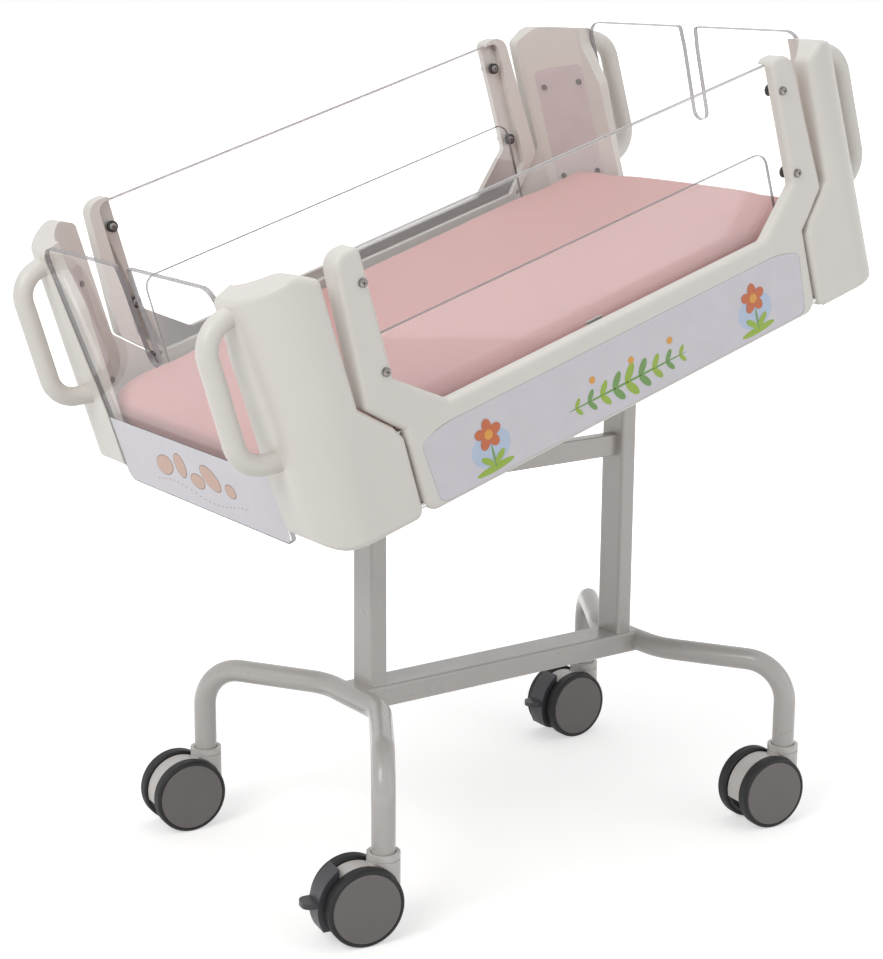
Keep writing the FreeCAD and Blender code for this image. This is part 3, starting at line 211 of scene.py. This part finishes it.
def grain(tree, shader, height, depth, strength):
    """Raises the surface by a height output, to a depth in millimetres."""
    bump = add_node(tree, "ShaderNodeBump", {"Height": height, "Distance": depth * MM, "Strength": strength})
    tree.links.new(bump.outputs["Normal"], shader.inputs["Normal"])


def powder_coat():
    """Polyester powder coat on mild steel: an even satin with a faint orange peel."""
    colour = colours().paint
    material, tree, shader, place = principled("powder_coated_steel", colour, 0.3, **{"Coat Weight": 0.35})
    shader.inputs["Coat Roughness"].default_value = 0.12
    vary_colour(tree, shader, place, colour, 90, 0.02)
    vary_roughness(tree, shader, place, 40, 0.26, 0.36)
    # orange peel is 1 to 2 mm across
    grain(tree, shader, cloud(tree, place, 1.8, 1).outputs["Fac"], 0.03, 0.3)
    return material


def ivory_moulding():
    """Moulded ABS, spark textured: a soft satin skin with a fine even grain and slow drifts in its colour."""
    colour = colours().shell
    material, tree, shader, place = principled("moulded_ivory_abs", colour, 0.42, **{"Coat Weight": 0.08})
    shader.inputs["Coat Roughness"].default_value = 0.25
    vary_colour(tree, shader, place, colour, 140, 0.015)
    vary_roughness(tree, shader, place, 60, 0.38, 0.47)
    # spark texture is about 0.3 mm, drawn at 0.9 mm so that it shows
    grain(tree, shader, cloud(tree, place, 0.9, 2).outputs["Fac"], 0.04, 0.4)
    return material


def plain_moulding(name, code, roughness, texture=0.7):
    """An injection moulding with a fine matt texture: used for castors, plates and the deck."""
    colour = linear(code)
    material, tree, shader, place = principled(name, colour, roughness)
    vary_colour(tree, shader, place, colour, 30, 0.03)
    vary_roughness(tree, shader, place, 15, roughness - 0.05, roughness + 0.06)
    grain(tree, shader, cloud(tree, place, texture, 2).outputs["Fac"], 0.04, 0.5)
    return material


def metal(name, code, roughness, feature):
    """Bare or plated steel, with fine drifts in its shine."""
    colour = linear(code)
    material, tree, shader, place = principled(name, colour, roughness, Metallic=1.0)
    vary_colour(tree, shader, place, colour, feature * 4, 0.06)
    vary_roughness(tree, shader, place, feature, roughness * 0.8, roughness * 1.3)
    return material


def coated_cover():
    """Polyurethane-coated polyester knit, wiped clean: a soft low sheen over a fine knit."""
    colour = colours().mattress
    material, tree, shader, place = principled("coated_pink_knit", colour, 0.62, **{
        "Sheen Weight": 0.12, "Sheen Roughness": 0.5})
    shader.inputs["Sheen Tint"].default_value = linear("#F6DEDB")
    vary_colour(tree, shader, place, colour, 110, 0.02)
    # the knit is 0.8 mm, drawn at 1.6 mm so that it shows
    across = add_node(tree, "ShaderNodeMapping", {"Vector": place, "Rotation": (0, TILT, 0)})
    wave = {"Vector": across.outputs["Vector"], "Scale": 1 / (KNIT * MM * WAVE_LENGTH), "Distortion": 0.6,
            "Detail": 1.0}
    ribs = [add_node(tree, "ShaderNodeTexWave", wave, bands_direction=way).outputs["Fac"] for way in "XY"]
    knit = add_node(tree, "ShaderNodeMath", operation="MULTIPLY")
    tree.links.new(ribs[0], knit.inputs[0])
    tree.links.new(ribs[1], knit.inputs[1])
    grain(tree, shader, knit.outputs["Value"], 0.03, 0.08)
    return material


def clear_acrylic():
    """Cast acrylic: a clear pane with next to no tint, seen by what its gloss reflects at a low angle."""
    material, tree, shader, _ = principled("clear_cast_acrylic", linear("#9A9496"), 0.03, Alpha=0.025,
                                           IOR=1.49)
    gloss = add_node(tree, "ShaderNodeBsdfGlossy", {"Color": (1, 1, 1, 1), "Roughness": 0.02})
    # a pane reflects 4 % face on and more at a low angle, the same from both of its sides
    aslant = add_node(tree, "ShaderNodeLayerWeight", {"Blend": 0.5}).outputs["Facing"]
    steep = add_node(tree, "ShaderNodeMath", {0: aslant, 1: 5.0}, operation="POWER").outputs["Value"]
    share = add_node(tree, "ShaderNodeMapRange", {"Value": steep, "To Min": 0.02, "To Max": 0.45})
    # light on its way to what lies behind a pane passes it
    shadow = add_node(tree, "ShaderNodeLightPath").outputs["Is Shadow Ray"]
    share = add_node(tree, "ShaderNodeMath", {0: share.outputs["Result"], 1: shadow}, operation="SUBTRACT",
                     use_clamp=True)
    mixed = add_node(tree, "ShaderNodeMixShader", {"Fac": share.outputs["Value"]})
    tree.links.new(shader.outputs["BSDF"], mixed.inputs[1])
    tree.links.new(gloss.outputs["BSDF"], mixed.inputs[2])
    output = next(n for n in tree.nodes if n.type == "OUTPUT_MATERIAL")
    tree.links.new(mixed.outputs["Shader"], output.inputs["Surface"])
    return material


def painted_edge_refraction():
    """Painted refraction on the flame-polished edge of cast acrylic: a grey band, standing in for how the
    clear edge bends light, that lets a little light through.
    """
    colour = linear("#8D888A")
    material, tree, shader, place = principled("acrylic_edge_painted_refraction", colour, 0.25, Alpha=0.85)
    vary_colour(tree, shader, place, colour, 70, 0.1)
    return material


def painted_chamfer_light():
    """Painted light on the broad polished chamfer of the tall sheets: a milky band, standing in for the light
    that the clear chamfer bends and reflects, that a little light comes through.
    """
    return principled("acrylic_chamfer_painted_light", linear("#CBC6C4"), 0.2, Alpha=0.7)[0]


def painted_rim_shade():
    """Painted shade: the fine dark line along an acrylic edge, where light from behind is bent out of sight.
    """
    return principled("acrylic_rim_painted_shade", linear("#554D4C"), 0.3, Alpha=0.8)[0]


def printed(name, colour):
    """Screen ink on vinyl film: flat, even and faintly satin."""
    material, tree, shader, place = principled(name, colour, 0.4)
    vary_colour(tree, shader, place, tuple(colour), 25, 0.02)
    return material


def nitrile_rubber():
    """Nitrile rubber: nearly black and dull."""
    return plain_moulding("nitrile_rubber", "#2B2A2B", 0.6, 0.6)


FINISHES = {
    powder_coat: ("foot_leg head_leg foot_post head_post lower_beam upper_beam deck_frame tilt_hinge_bracket "
                  "gas_spring_bracket release_shaft"),
    ivory_moulding: ("corner_shell_foot_near corner_shell_foot_far corner_shell_head_near "
                     "corner_shell_head_far side_frame_near side_frame_far"),
    nitrile_rubber: "rest_buffer",
    lambda: plain_moulding("moulded_cover_plate", "#D6CCCB", 0.45): "cover_plates",
    lambda: plain_moulding("extruded_abs_deck", "#D2CEC8", 0.5): "mattress_deck",
    lambda: metal("zinc_plated_steel", "#BDBDBE", 0.34, 4): "tilt_hinge_pin side_pins",
    lambda: metal("stainless_screw_heads", "#8F8D8D", 0.34, 2): ("crib_screws side_screws_near "
                                                                 "side_screws_far"),
    lambda: metal("blackened_steel", "#3A3A3D", 0.42, 3): "beam_bolts",
    lambda: metal("hard_chromed_rod", "#D5D6D8", 0.08, 6): "gas_spring_rod",
    lambda: plain_moulding("black_lacquered_tube", "#1E1E20", 0.28): "gas_spring_cylinder",
}
CHAMFERED = ("tall_sheet_near", "tall_sheet_far")
SHEETS = (*CHAMFERED, "low_sheet_near", "low_sheet_far", "end_sheet_foot", "end_sheet_head")


def wear(node, *materials):
    """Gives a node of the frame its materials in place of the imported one."""
    mesh = NODES[node].data
    mesh.materials.clear()
    for material in materials:
        mesh.materials.append(material)


def on_free_edge(node, place):
    """Whether a place on a sheet's outline shows: a tall sheet's sides and foot lie in their frame."""
    return not node.startswith("tall") or (CRIB.inverted() @ place).z > FREE_EDGE * MM


def wear_sheet(node, face, edge):
    """Gives a clear sheet its clear faces and, on its edges, a painted refraction tone, told apart by how
    they lie.
    """
    wear(node, face, edge)
    polygons = NODES[node].data.polygons
    through = max(polygons, key=lambda p: p.area).normal.copy()
    for polygon in polygons:
        clear = abs(polygon.normal.dot(through)) > 0.9 or not on_free_edge(node, polygon.center)
        polygon.material_index = 0 if clear else 1


# Shapes

def piece(name, bm, body, materials, matrix=Matrix.Identity(4), sharp=35):
    """Makes a finished piece of a bmesh, set in place by its mesh, and rides it on a body."""
    bmesh.ops.recalc_face_normals(bm, faces=bm.faces)
    bm.transform(matrix)
    mesh = bpy.data.meshes.new(name)
    bm.to_mesh(mesh)
    bm.free()
    for material in materials:
        mesh.materials.append(material)
    mesh.shade_smooth()
    mesh.set_sharp_from_angle(angle=math.radians(sharp))
    made = bpy.data.objects.new(name, mesh)
    bpy.context.scene.collection.objects.link(made)
    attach(made, body)
    return made


def thicken(bm, face, height, layer, material):
    """Raises a flat face into a thin closed solid that stands on a layer, and colours it."""
    base = list(face.verts)
    raised = bmesh.ops.extrude_face_region(bm, geom=[face], use_keep_orig=True)["geom"]
    tops = [v for v in raised if isinstance(v, bmesh.types.BMVert)]
    bmesh.ops.translate(bm, verts=tops, vec=(0, 0, height))
    bmesh.ops.translate(bm, verts=tops + base, vec=(0, 0, layer))
    for side in {f for v in tops + base for f in v.link_faces}:
        side.material_index = material


def outline_plate(bm, corners, height):
    """A flat plate of (across, up, corner radius) points in millimetres, the first shape of its bmesh."""
    verts = [bm.verts.new((x * MM, y * MM, 0)) for x, y, _ in corners]
    bm.faces.new(verts)
    for vert, (_, _, radius) in zip(verts, corners):
        if radius:
            bmesh.ops.bevel(bm, geom=[vert], affect="VERTICES", offset=radius * MM, segments=6,
                            profile=0.5, material=-1)
    bm.faces.ensure_lookup_table()
    thicken(bm, bm.faces[0], height, 0, 0)


def oval(bm, across, up, wide, high, turn, level, material, steps=28):
    """A printed oval at a place in millimetres, on its own layer of ink."""
    ink = sizes().ink
    verts = bmesh.ops.create_circle(bm, cap_ends=True, segments=steps, radius=1.0)["verts"]
    shape = (Matrix.Translation((across * MM, up * MM, 0)) @ Matrix.Rotation(math.radians(turn), 4, "Z")
             @ Matrix.Diagonal((wide * MM / 2, high * MM / 2, 1, 1)))
    bmesh.ops.transform(bm, matrix=shape, verts=verts)
    face = next(f for f in verts[0].link_faces if len(f.verts) == steps)
    thicken(bm, face, ink, level * ink, material)


def facing(right, up, origin):
    """A matrix for things drawn flat: right and up as given, the third axis toward the viewer."""
    right, up = Vector(right).normalized(), Vector(up).normalized()
    return Matrix.Translation(Vector(origin)) @ Matrix((right, up, right.cross(up))).transposed().to_4x4()


class BASSINET_OT_stage(bpy.types.Operator):
    """Pale floor, soft studio light and the camera"""
    bl_idname = "bassinet.stage"
    bl_label = "Stage"

    def execute(self, context):
        scene = context.scene
        scene.view_settings.view_transform = "Standard"

        bm = bmesh.new()
        bmesh.ops.create_grid(bm, x_segments=1, y_segments=1, size=40)
        mesh = bpy.data.meshes.new("floor")
        bm.to_mesh(mesh)
        bm.free()
        floor = bpy.data.objects.new("floor", mesh)
        scene.collection.objects.link(floor)
        material, tree, shader, place = principled("pale_studio_floor", linear("#E8E7E5"), 0.9)
        seen = self.seen(tree, add_node(tree, "ShaderNodeLightPath"))
        # the floor brightens into the white backdrop between 0.6 and 1.6 m from the object's middle
        away = add_node(tree, "ShaderNodeVectorMath", {0: place}, operation="LENGTH")
        fade = add_node(tree, "ShaderNodeMapRange", {
            "Value": away.outputs["Value"], "From Min": 0.6, "From Max": 1.6, "To Min": 0.5, "To Max": 1.2})
        lift = add_node(tree, "ShaderNodeMath", {0: seen, 1: fade.outputs["Result"]}, operation="MULTIPLY")
        tree.links.new(lift.outputs["Value"], shader.inputs["Emission Strength"])
        shader.inputs["Emission Color"].default_value = (1, 1, 1, 1)
        mesh.materials.append(material)

        world = bpy.data.worlds.new("studio")
        scene.world = world
        world.use_nodes = True
        tree = world.node_tree
        tree.nodes.clear()
        room = add_node(tree, "ShaderNodeBackground", {"Color": linear("#F4F5F8"), "Strength": 0.5})
        white = add_node(tree, "ShaderNodeBackground", {"Color": (1, 1, 1, 1), "Strength": 1.0})
        seen = self.seen(tree, add_node(tree, "ShaderNodeLightPath"))
        mixed = add_node(tree, "ShaderNodeMixShader", {"Fac": seen})
        tree.links.new(room.outputs["Background"], mixed.inputs[1])
        tree.links.new(white.outputs["Background"], mixed.inputs[2])
        output = add_node(tree, "ShaderNodeOutputWorld")
        tree.links.new(mixed.outputs["Shader"], output.inputs["Surface"])

        for name, place, wide, watts in LAMPS:
            lamp = bpy.data.lights.new(name, "AREA")
            lamp.shape = "SQUARE"
            lamp.size = wide
            lamp.energy = watts
            holder = bpy.data.objects.new(name, lamp)
            scene.collection.objects.link(holder)
            holder.location = place
            holder.rotation_euler = (AIM - Vector(place)).to_track_quat("-Z", "Y").to_euler()

        camera = bpy.data.cameras.new("camera")
        camera.sensor_fit = "AUTO"
        camera.sensor_width = SENSOR
        camera.lens = FOCAL_LENGTH / FRAME_HEIGHT * SENSOR
        camera.clip_start = 0.05
        camera.clip_end = 200
        holder = bpy.data.objects.new("camera", camera)
        scene.collection.objects.link(holder)
        turn, rise, roll = (math.radians(angle) for angle in (CAMERA_TURN, CAMERA_RISE, CAMERA_ROLL))
        back = Vector((math.sin(turn) * math.cos(rise), -math.cos(turn) * math.cos(rise), math.sin(rise)))
        upright = (-back).to_track_quat("-Z", "Y").to_matrix().to_4x4()
        holder.matrix_world = Matrix.Translation(CAMERA_PLACE) @ upright @ Matrix.Rotation(roll, 4, "Z")
        scene.camera = holder
        return {"FINISHED"}

    @staticmethod
    def seen(tree, rays):
        """True for rays that show the background: from the camera, off gloss or through glass."""
        kinds = [rays.outputs["Is %s Ray" % kind] for kind in ("Camera", "Glossy", "Transmission")]
        first = add_node(tree, "ShaderNodeMath", {0: kinds[0], 1: kinds[1]}, operation="MAXIMUM")
        both = add_node(tree, "ShaderNodeMath", {0: first.outputs["Value"], 1: kinds[2]}, operation="MAXIMUM")
        return both.outputs["Value"]


class BASSINET_OT_finishes(bpy.types.Operator):
    """Paint, mouldings, metal and clear sheets on the frame's own parts"""
    bl_idname = "bassinet.finishes"
    bl_label = "Finishes"

    def execute(self, context):
        for make, names in FINISHES.items():
            material = make()
            for node in names.split():
                wear(node, material)
        # the sheets' edges get painted refraction: a grey tone on the end sheets, painted shade on the low
        # ones and painted light on the tall ones' chamfers
        face, edge, chamfer, rim = clear_acrylic(), painted_edge_refraction(), painted_chamfer_light(), painted_rim_shade()
        for node in SHEETS:
            wear_sheet(node, face, {"tall": chamfer, "low": rim, "end": edge}[node.split("_")[0]])
        # castors: satin nylon housings and pedals, semi-matt discs, dull treads, bright plated axles
        housing = plain_moulding("moulded_nylon_housing", "#CFCBC7", 0.4)
        hub = plain_moulding("moulded_wheel_disc", "#6F6B69", 0.45)
        tyre = plain_moulding("thermoplastic_rubber_tread", "#111112", 0.6)
        pedal = plain_moulding("glass_filled_nylon_pedal", "#3C3C40", 0.4)
        axle = metal("plated_axle", "#B5B5B6", 0.3, 3)
        kinds = {"housing": housing, "hub": hub, "tyre": tyre, "pedal": pedal, "axle": axle}
        for node in [n for n in NODES if n.startswith("castor_")]:
            wear(node, kinds[node.split("_")[3]])
        return {"FINISHED"}


class BASSINET_OT_rims(bpy.types.Operator):
    """Painted shade and light along the clear sheets: fine dark lines at their edges and milky chamfer bands
    """
    bl_idname = "bassinet.rims"
    bl_label = "Sheet rims"

    def execute(self, context):
        s = sizes()
        rim, chamfer = painted_rim_shade(), painted_chamfer_light()
        for node in SHEETS:
            side = node.rsplit("_", 1)[1]
            body = "side_" + side if node.startswith("tall") else "crib"
            dark = s.rim * (0.5 if node in CHAMFERED else 1)
            # the dark ribbons are painted shade and the milky ones painted light, laid just off the clear
            # faces
            piece(node + "_rim", self.lines(node, 0, dark), body, [rim], sharp=180)
            if node in CHAMFERED:
                piece(node + "_chamfer", self.lines(node, dark, s.chamfer), body, [chamfer], sharp=180)
        return {"FINISHED"}

    @staticmethod
    def lines(node, near, wide):
        """Ribbons just off both faces of a sheet, along its free edges and a given way in from them."""
        off = RIBBON_LIFT * MM
        source = bmesh.new()
        source.from_mesh(NODES[node].data)
        bmesh.ops.remove_doubles(source, verts=source.verts, dist=0.001 * MM)
        through = max(source.faces, key=lambda f: f.calc_area()).normal.copy()
        bm = bmesh.new()
        for edge in source.edges:
            flat = [f for f in edge.link_faces if abs(f.normal.dot(through)) > 0.9]
            start, stop = (v.co for v in edge.verts)
            if len(flat) != 1 or not on_free_edge(node, (start + stop) / 2):
                continue
            normal = flat[0].normal
            inward = normal.cross(stop - start).normalized()
            if inward.dot(flat[0].calc_center_median() - start) < 0:
                inward = -inward
            bm.faces.new([bm.verts.new(co + normal * off + inward * way) for co, way in (
                (start, near), (stop, near), (stop, near + wide), (start, near + wide))])
        source.free()
        return bm


class BASSINET_OT_mattress(bpy.types.Operator):
    """Foam mattress in a coated knit cover, filled by a short cloth simulation"""
    bl_idname = "bassinet.mattress"
    bl_label = "Mattress"

    def execute(self, context):
        s = sizes()
        scene = context.scene
        low, high = s.mattress_low, s.mattress_high
        bm = bmesh.new()
        bmesh.ops.create_cube(bm, size=1)
        bmesh.ops.transform(bm, verts=bm.verts, matrix=Matrix.Translation((0, 0, (low + high) / 2))
                            @ Matrix.Diagonal((s.mattress_length, s.mattress_width, high - low, 1)))
        upright = [e for e in bm.edges if abs(e.verts[0].co.z - e.verts[1].co.z) > 0.01]
        bmesh.ops.bevel(bm, geom=upright, affect="EDGES", offset=s.mattress_corner, segments=10, profile=0.5,
                        material=-1)
        rims = [e for e in bm.edges if abs(e.verts[0].co.z - e.verts[1].co.z) < 0.001]
        bmesh.ops.bevel(bm, geom=rims, affect="EDGES", offset=s.mattress_edge, segments=5, profile=0.5,
                        material=-1)
        for vert in bm.verts:
            if vert.co.z > (low + high) / 2:
                vert.co.z += s.head_rise * (vert.co.x / s.mattress_length + 0.5)
        mattress = piece("mattress_pad", bm, "crib", [coated_cover()])
        self.fill(scene, mattress, s)
        mattress.data.transform(CRIB)
        mattress.data.shade_smooth()
        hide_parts("mattress")
        return {"FINISHED"}

    def fill(self, scene, pad, s):
        """Remeshes the pad, lets pressure fill it with its underside held, and caps how far it moves."""
        remesh = pad.modifiers.new("remesh", "REMESH")
        remesh.mode = "VOXEL"
        remesh.voxel_size = VOXEL * MM
        self.keep_evaluated(pad)
        start = [v.co.copy() for v in pad.data.vertices]
        held = pad.vertex_groups.new(name="underside")
        held.add([i for i, co in enumerate(start) if co.z < s.mattress_low + 2 * MM], 1.0, "REPLACE")
        cloth = pad.modifiers.new("cloth", "CLOTH")
        cloth.settings.quality = 6
        cloth.settings.mass = 0.3
        cloth.settings.tension_stiffness = 12
        cloth.settings.compression_stiffness = 12
        cloth.settings.bending_stiffness = 0.6
        cloth.settings.use_pressure = True
        cloth.settings.uniform_pressure_force = 4
        cloth.settings.effector_weights.gravity = 0
        cloth.settings.vertex_group_mass = "underside"
        cloth.point_cache.frame_start = 1
        cloth.point_cache.frame_end = FRAMES
        for step in range(1, FRAMES + 1):
            scene.frame_set(step)
        self.keep_evaluated(pad)
        scene.frame_set(1)
        for vert, was in zip(pad.data.vertices, start):
            move = vert.co - was
            aside = Vector((move.x, move.y, 0))
            if aside.length > s.swell:
                aside *= s.swell / aside.length
            vert.co = was + aside + Vector((0, 0, max(-s.swell / 4, min(s.crown, move.z))))
        calm = pad.modifiers.new("calm", "SMOOTH")
        calm.factor = 0.5
        calm.iterations = 8
        finer = pad.modifiers.new("finer", "SUBSURF")
        finer.levels = finer.render_levels = 1
        self.keep_evaluated(pad)

    @staticmethod
    def keep_evaluated(pad):
        """Takes the shape that the modifiers give as the piece's own mesh."""
        graph = bpy.context.evaluated_depsgraph_get()
        shaped = bpy.data.meshes.new_from_object(pad.evaluated_get(graph))
        pad.modifiers.clear()
        pad.data = shaped


class BASSINET_OT_side_prints(bpy.types.Operator):
    """Printed film let into the two side frames, with a generic pattern of flowers and leaves"""
    bl_idname = "bassinet.side_prints"
    bl_label = "Side prints"

    def execute(self, context):
        c = colours()
        inks = [printed("vinyl_film", c.film), printed("green_ink", c.leaf),
                printed("deep_green_ink", c.deep_leaf), printed("orange_ink", c.petal),
                printed("yellow_ink", c.heart), printed("pale_blue_ink", c.shade)]
        recess = PANEL_RECESS * MM
        for side, right, place in (("near", (1, 0, 0), (0, -recess, 0)), ("far", (-1, 0, 0), (0, recess, 0))):
            bm = bmesh.new()
            outline_plate(bm, [(-294.6, 5.4, 11), (294.6, 5.4, 11), (301.6, 84, 8), (268.8, 94.6, 20),
                               (-268.8, 94.6, 20), (-301.6, 84, 8)], sizes().film)
            self.flower(bm, -212, 30)
            self.flower(bm, 214, 30)
            self.garland(bm)
            piece("side_print_" + side, bm, "side_" + side, inks, CRIB @ facing(right, (0, 0, 1), place))
        return {"FINISHED"}

    @staticmethod
    def flower(bm, across, up):
        """A round flower with five petals, two leaves and a mound."""
        base = sizes().film / sizes().ink
        oval(bm, across, up + 10, 58, 44, 8, base, 5)
        oval(bm, across, up - 15, 56, 9, 3, base + 1, 1)
        oval(bm, across + 1, up - 1, 3, 28, 0, base + 2, 2, 16)
        for turn, way in ((38, 1), (-38, -1)):
            oval(bm, across + way * 9, up - 4, 20, 8, turn, base + 3, 1)
        for petal in range(5):
            angle = math.radians(90 + 72 * petal)
            oval(bm, across + 11 * math.cos(angle), up + 27 + 11 * math.sin(angle), 17, 13,
                 math.degrees(angle), base + 4 + 0.2 * petal, 3)
        oval(bm, across, up + 27, 12, 12, 0, base + 6, 4)

    @staticmethod
    def garland(bm):
        """A long low sprig: a stem with pairs of leaves that grow smaller toward its ends."""
        base = sizes().film / sizes().ink
        oval(bm, 0, 34, 190, 3, 0, base, 2, 40)
        for number in range(-4, 5):
            size = 1 - 0.12 * abs(number)
            for way in (1, -1):
                oval(bm, number * 21 + 4, 34 + way * 10 * size, 26 * size, 11 * size, way * 52, base + 1,
                     1 if (number + way) % 2 else 2)
        for across in (-52, 10, 73):
            oval(bm, across, 58, 9, 9, 0, base + 2, 4, 20)


class BASSINET_OT_end_prints(bpy.types.Operator):
    """Printed bands along the foot of the two end sheets, with a generic pattern of pebbles"""
    bl_idname = "bassinet.end_prints"
    bl_label = "End prints"

    def execute(self, context):
        c = colours()
        inks = [printed("white_band_film", c.film), printed("tan_ink", c.pebble),
                printed("brown_ink", c.outline)]
        for end, way in (("foot", -1), ("head", 1)):
            bm = bmesh.new()
            outline_plate(bm, [(-200.6, -5.6, 14), (200.6, -5.6, 14), (196.6, 84, 0), (-196.6, 84, 0)],
                          END_FILM * MM)
            self.pebbles(bm)
            upward = (way * math.sin(END_LEAN), 0, math.cos(END_LEAN))
            outward = facing((0, way, 0), upward, (way * END_FACE * MM, 0, 0))
            piece("end_print_" + end, bm, "crib", inks, CRIB @ outward)
        return {"FINISHED"}

    @staticmethod
    def pebbles(bm):
        """Outlined pebbles in a loose row, with a dotted trail between them."""
        base = END_FILM * MM / sizes().ink
        for across, up, wide, high, turn in (
                (-78, 40, 46, 26, 20), (-34, 48, 26, 34, -15), (2, 34, 34, 20, 8), (40, 46, 44, 30, -24),
                (84, 38, 24, 18, 12)):
            oval(bm, across, up, wide + 2, high + 2, turn, base, 2)
            oval(bm, across, up, wide, high, turn, base + 1, 1)
        for step in range(22):
            angle = step / 21 * math.tau * 1.2
            oval(bm, -110 + step * 10.5, 14 + 6 * math.sin(angle), 3.4, 1.2, 12 * math.cos(angle), base, 2,
                 10)


class BASSINET_OT_screws(bpy.types.Operator):
    """Domed heads with painted shade for cross recesses on the side screws, and rubber spacers under the
    inner ones
    """
    bl_idname = "bassinet.screws"
    bl_label = "Screws"

    def execute(self, context):
        s = sizes()
        # the rubber material colours the real spacers and also the painted shade in the screw heads' cross
        # recesses
        head, rubber = metal("nickel_plated_screw_dome", "#85827F", 0.34, 2), nitrile_rubber()
        for side, way in (("near", -1), ("far", 1)):
            bm = bmesh.new()
            wide, high = s.spacer_radius / MM, s.spacer_height / MM
            spacer = [(0, 0), (wide, 0), (wide, high - 0.8), (wide - 0.8, high), (0, high)]
            for across in (-SCREW_ACROSS, SCREW_ACROSS):
                for up in SCREW_ROWS:
                    outside = Vector((across, way * SCREW_OUTSIDE, up)) * MM
                    inside = Vector((across, way * SCREW_INSIDE, up)) * MM
                    self.dome(bm, outside, way)
                    self.dome(bm, inside - Vector((0, way * s.spacer_height, 0)), -way)
                    self.lathe(bm, inside, -way, spacer, 1)
            piece("screw_trim_" + side, bm, "side_" + side, [head, rubber], CRIB, 30)
        return {"FINISHED"}

    def dome(self, bm, place, way):
        """A shallow dome on a screw head, with painted shade for its cross recess: two dark slots in the
        rubber material.
        """
        self.lathe(bm, place, way, [(0, 0), (5.2, 0), (5.1, 0.6), (4.3, 1.4), (2.9, 1.9), (0, 2.1)], 0)
        # painted shade: the recess's shadow is drawn as two dark boxes in the rubber material, not cut into
        # the dome
        for turn in (25, 115):
            recess_shade = bmesh.ops.create_cube(bm, size=1)["verts"]
            bmesh.ops.transform(bm, verts=recess_shade, matrix=(
                Matrix.Translation(place + Vector((0, way * 1.7 * MM, 0)))
                @ Matrix.Rotation(math.radians(turn), 4, "Y")
                @ Matrix.Diagonal((5.4 * MM, 0.9 * MM, 1.1 * MM, 1))))
            for face in {f for v in recess_shade for f in v.link_faces}:
                face.material_index = 1

    @staticmethod
    def lathe(bm, place, way, section, material):
        """Turns a section of (radius, height) points in millimetres about a screw that points along way."""
        known = set(bm.faces)
        verts = [bm.verts.new((place.x + r * MM, place.y + way * h * MM, place.z)) for r, h in section]
        edges = [bm.edges.new(pair) for pair in zip(verts, verts[1:] + verts[:1])]
        bmesh.ops.spin(bm, geom=verts + edges, cent=place, axis=(0, 1, 0), angle=math.tau, steps=24,
                       use_merge=True)
        for face in set(bm.faces) - known:
            face.material_index = material


STEPS = (BASSINET_OT_stage, BASSINET_OT_finishes, BASSINET_OT_rims, BASSINET_OT_mattress,
         BASSINET_OT_side_prints, BASSINET_OT_end_prints, BASSINET_OT_screws)


class BASSINET_PT_steps(bpy.types.Panel):
    """The bassinet's steps, in the order that they are run"""
    bl_label = "Bassinet"
    bl_space_type = "VIEW_3D"
    bl_region_type = "UI"
    bl_category = "Bassinet"

    def draw(self, context):
        for step in STEPS:
            self.layout.operator(step.bl_idname)
        for group in (context.scene.bassinet_sizes, context.scene.bassinet_colours):
            box = self.layout.box()
            for name in group.__annotations__:
                box.prop(group, name)


CLASSES = (BassinetSizes, BassinetColours, *STEPS, BASSINET_PT_steps)


def register():
    for cls in CLASSES:
        bpy.utils.register_class(cls)
    bpy.types.Scene.bassinet_sizes = bpy.props.PointerProperty(type=BassinetSizes)
    bpy.types.Scene.bassinet_colours = bpy.props.PointerProperty(type=BassinetColours)


def unregister():
    del bpy.types.Scene.bassinet_colours
    del bpy.types.Scene.bassinet_sizes
    for cls in reversed(CLASSES):
        bpy.utils.unregister_class(cls)


def main():
    register()
    bpy.ops.bassinet.stage()
    bpy.ops.bassinet.finishes()
    bpy.ops.bassinet.rims()
    bpy.ops.bassinet.mattress()
    bpy.ops.bassinet.side_prints()
    bpy.ops.bassinet.end_prints()
    bpy.ops.bassinet.screws()


if __name__ == "__main__":
    main()
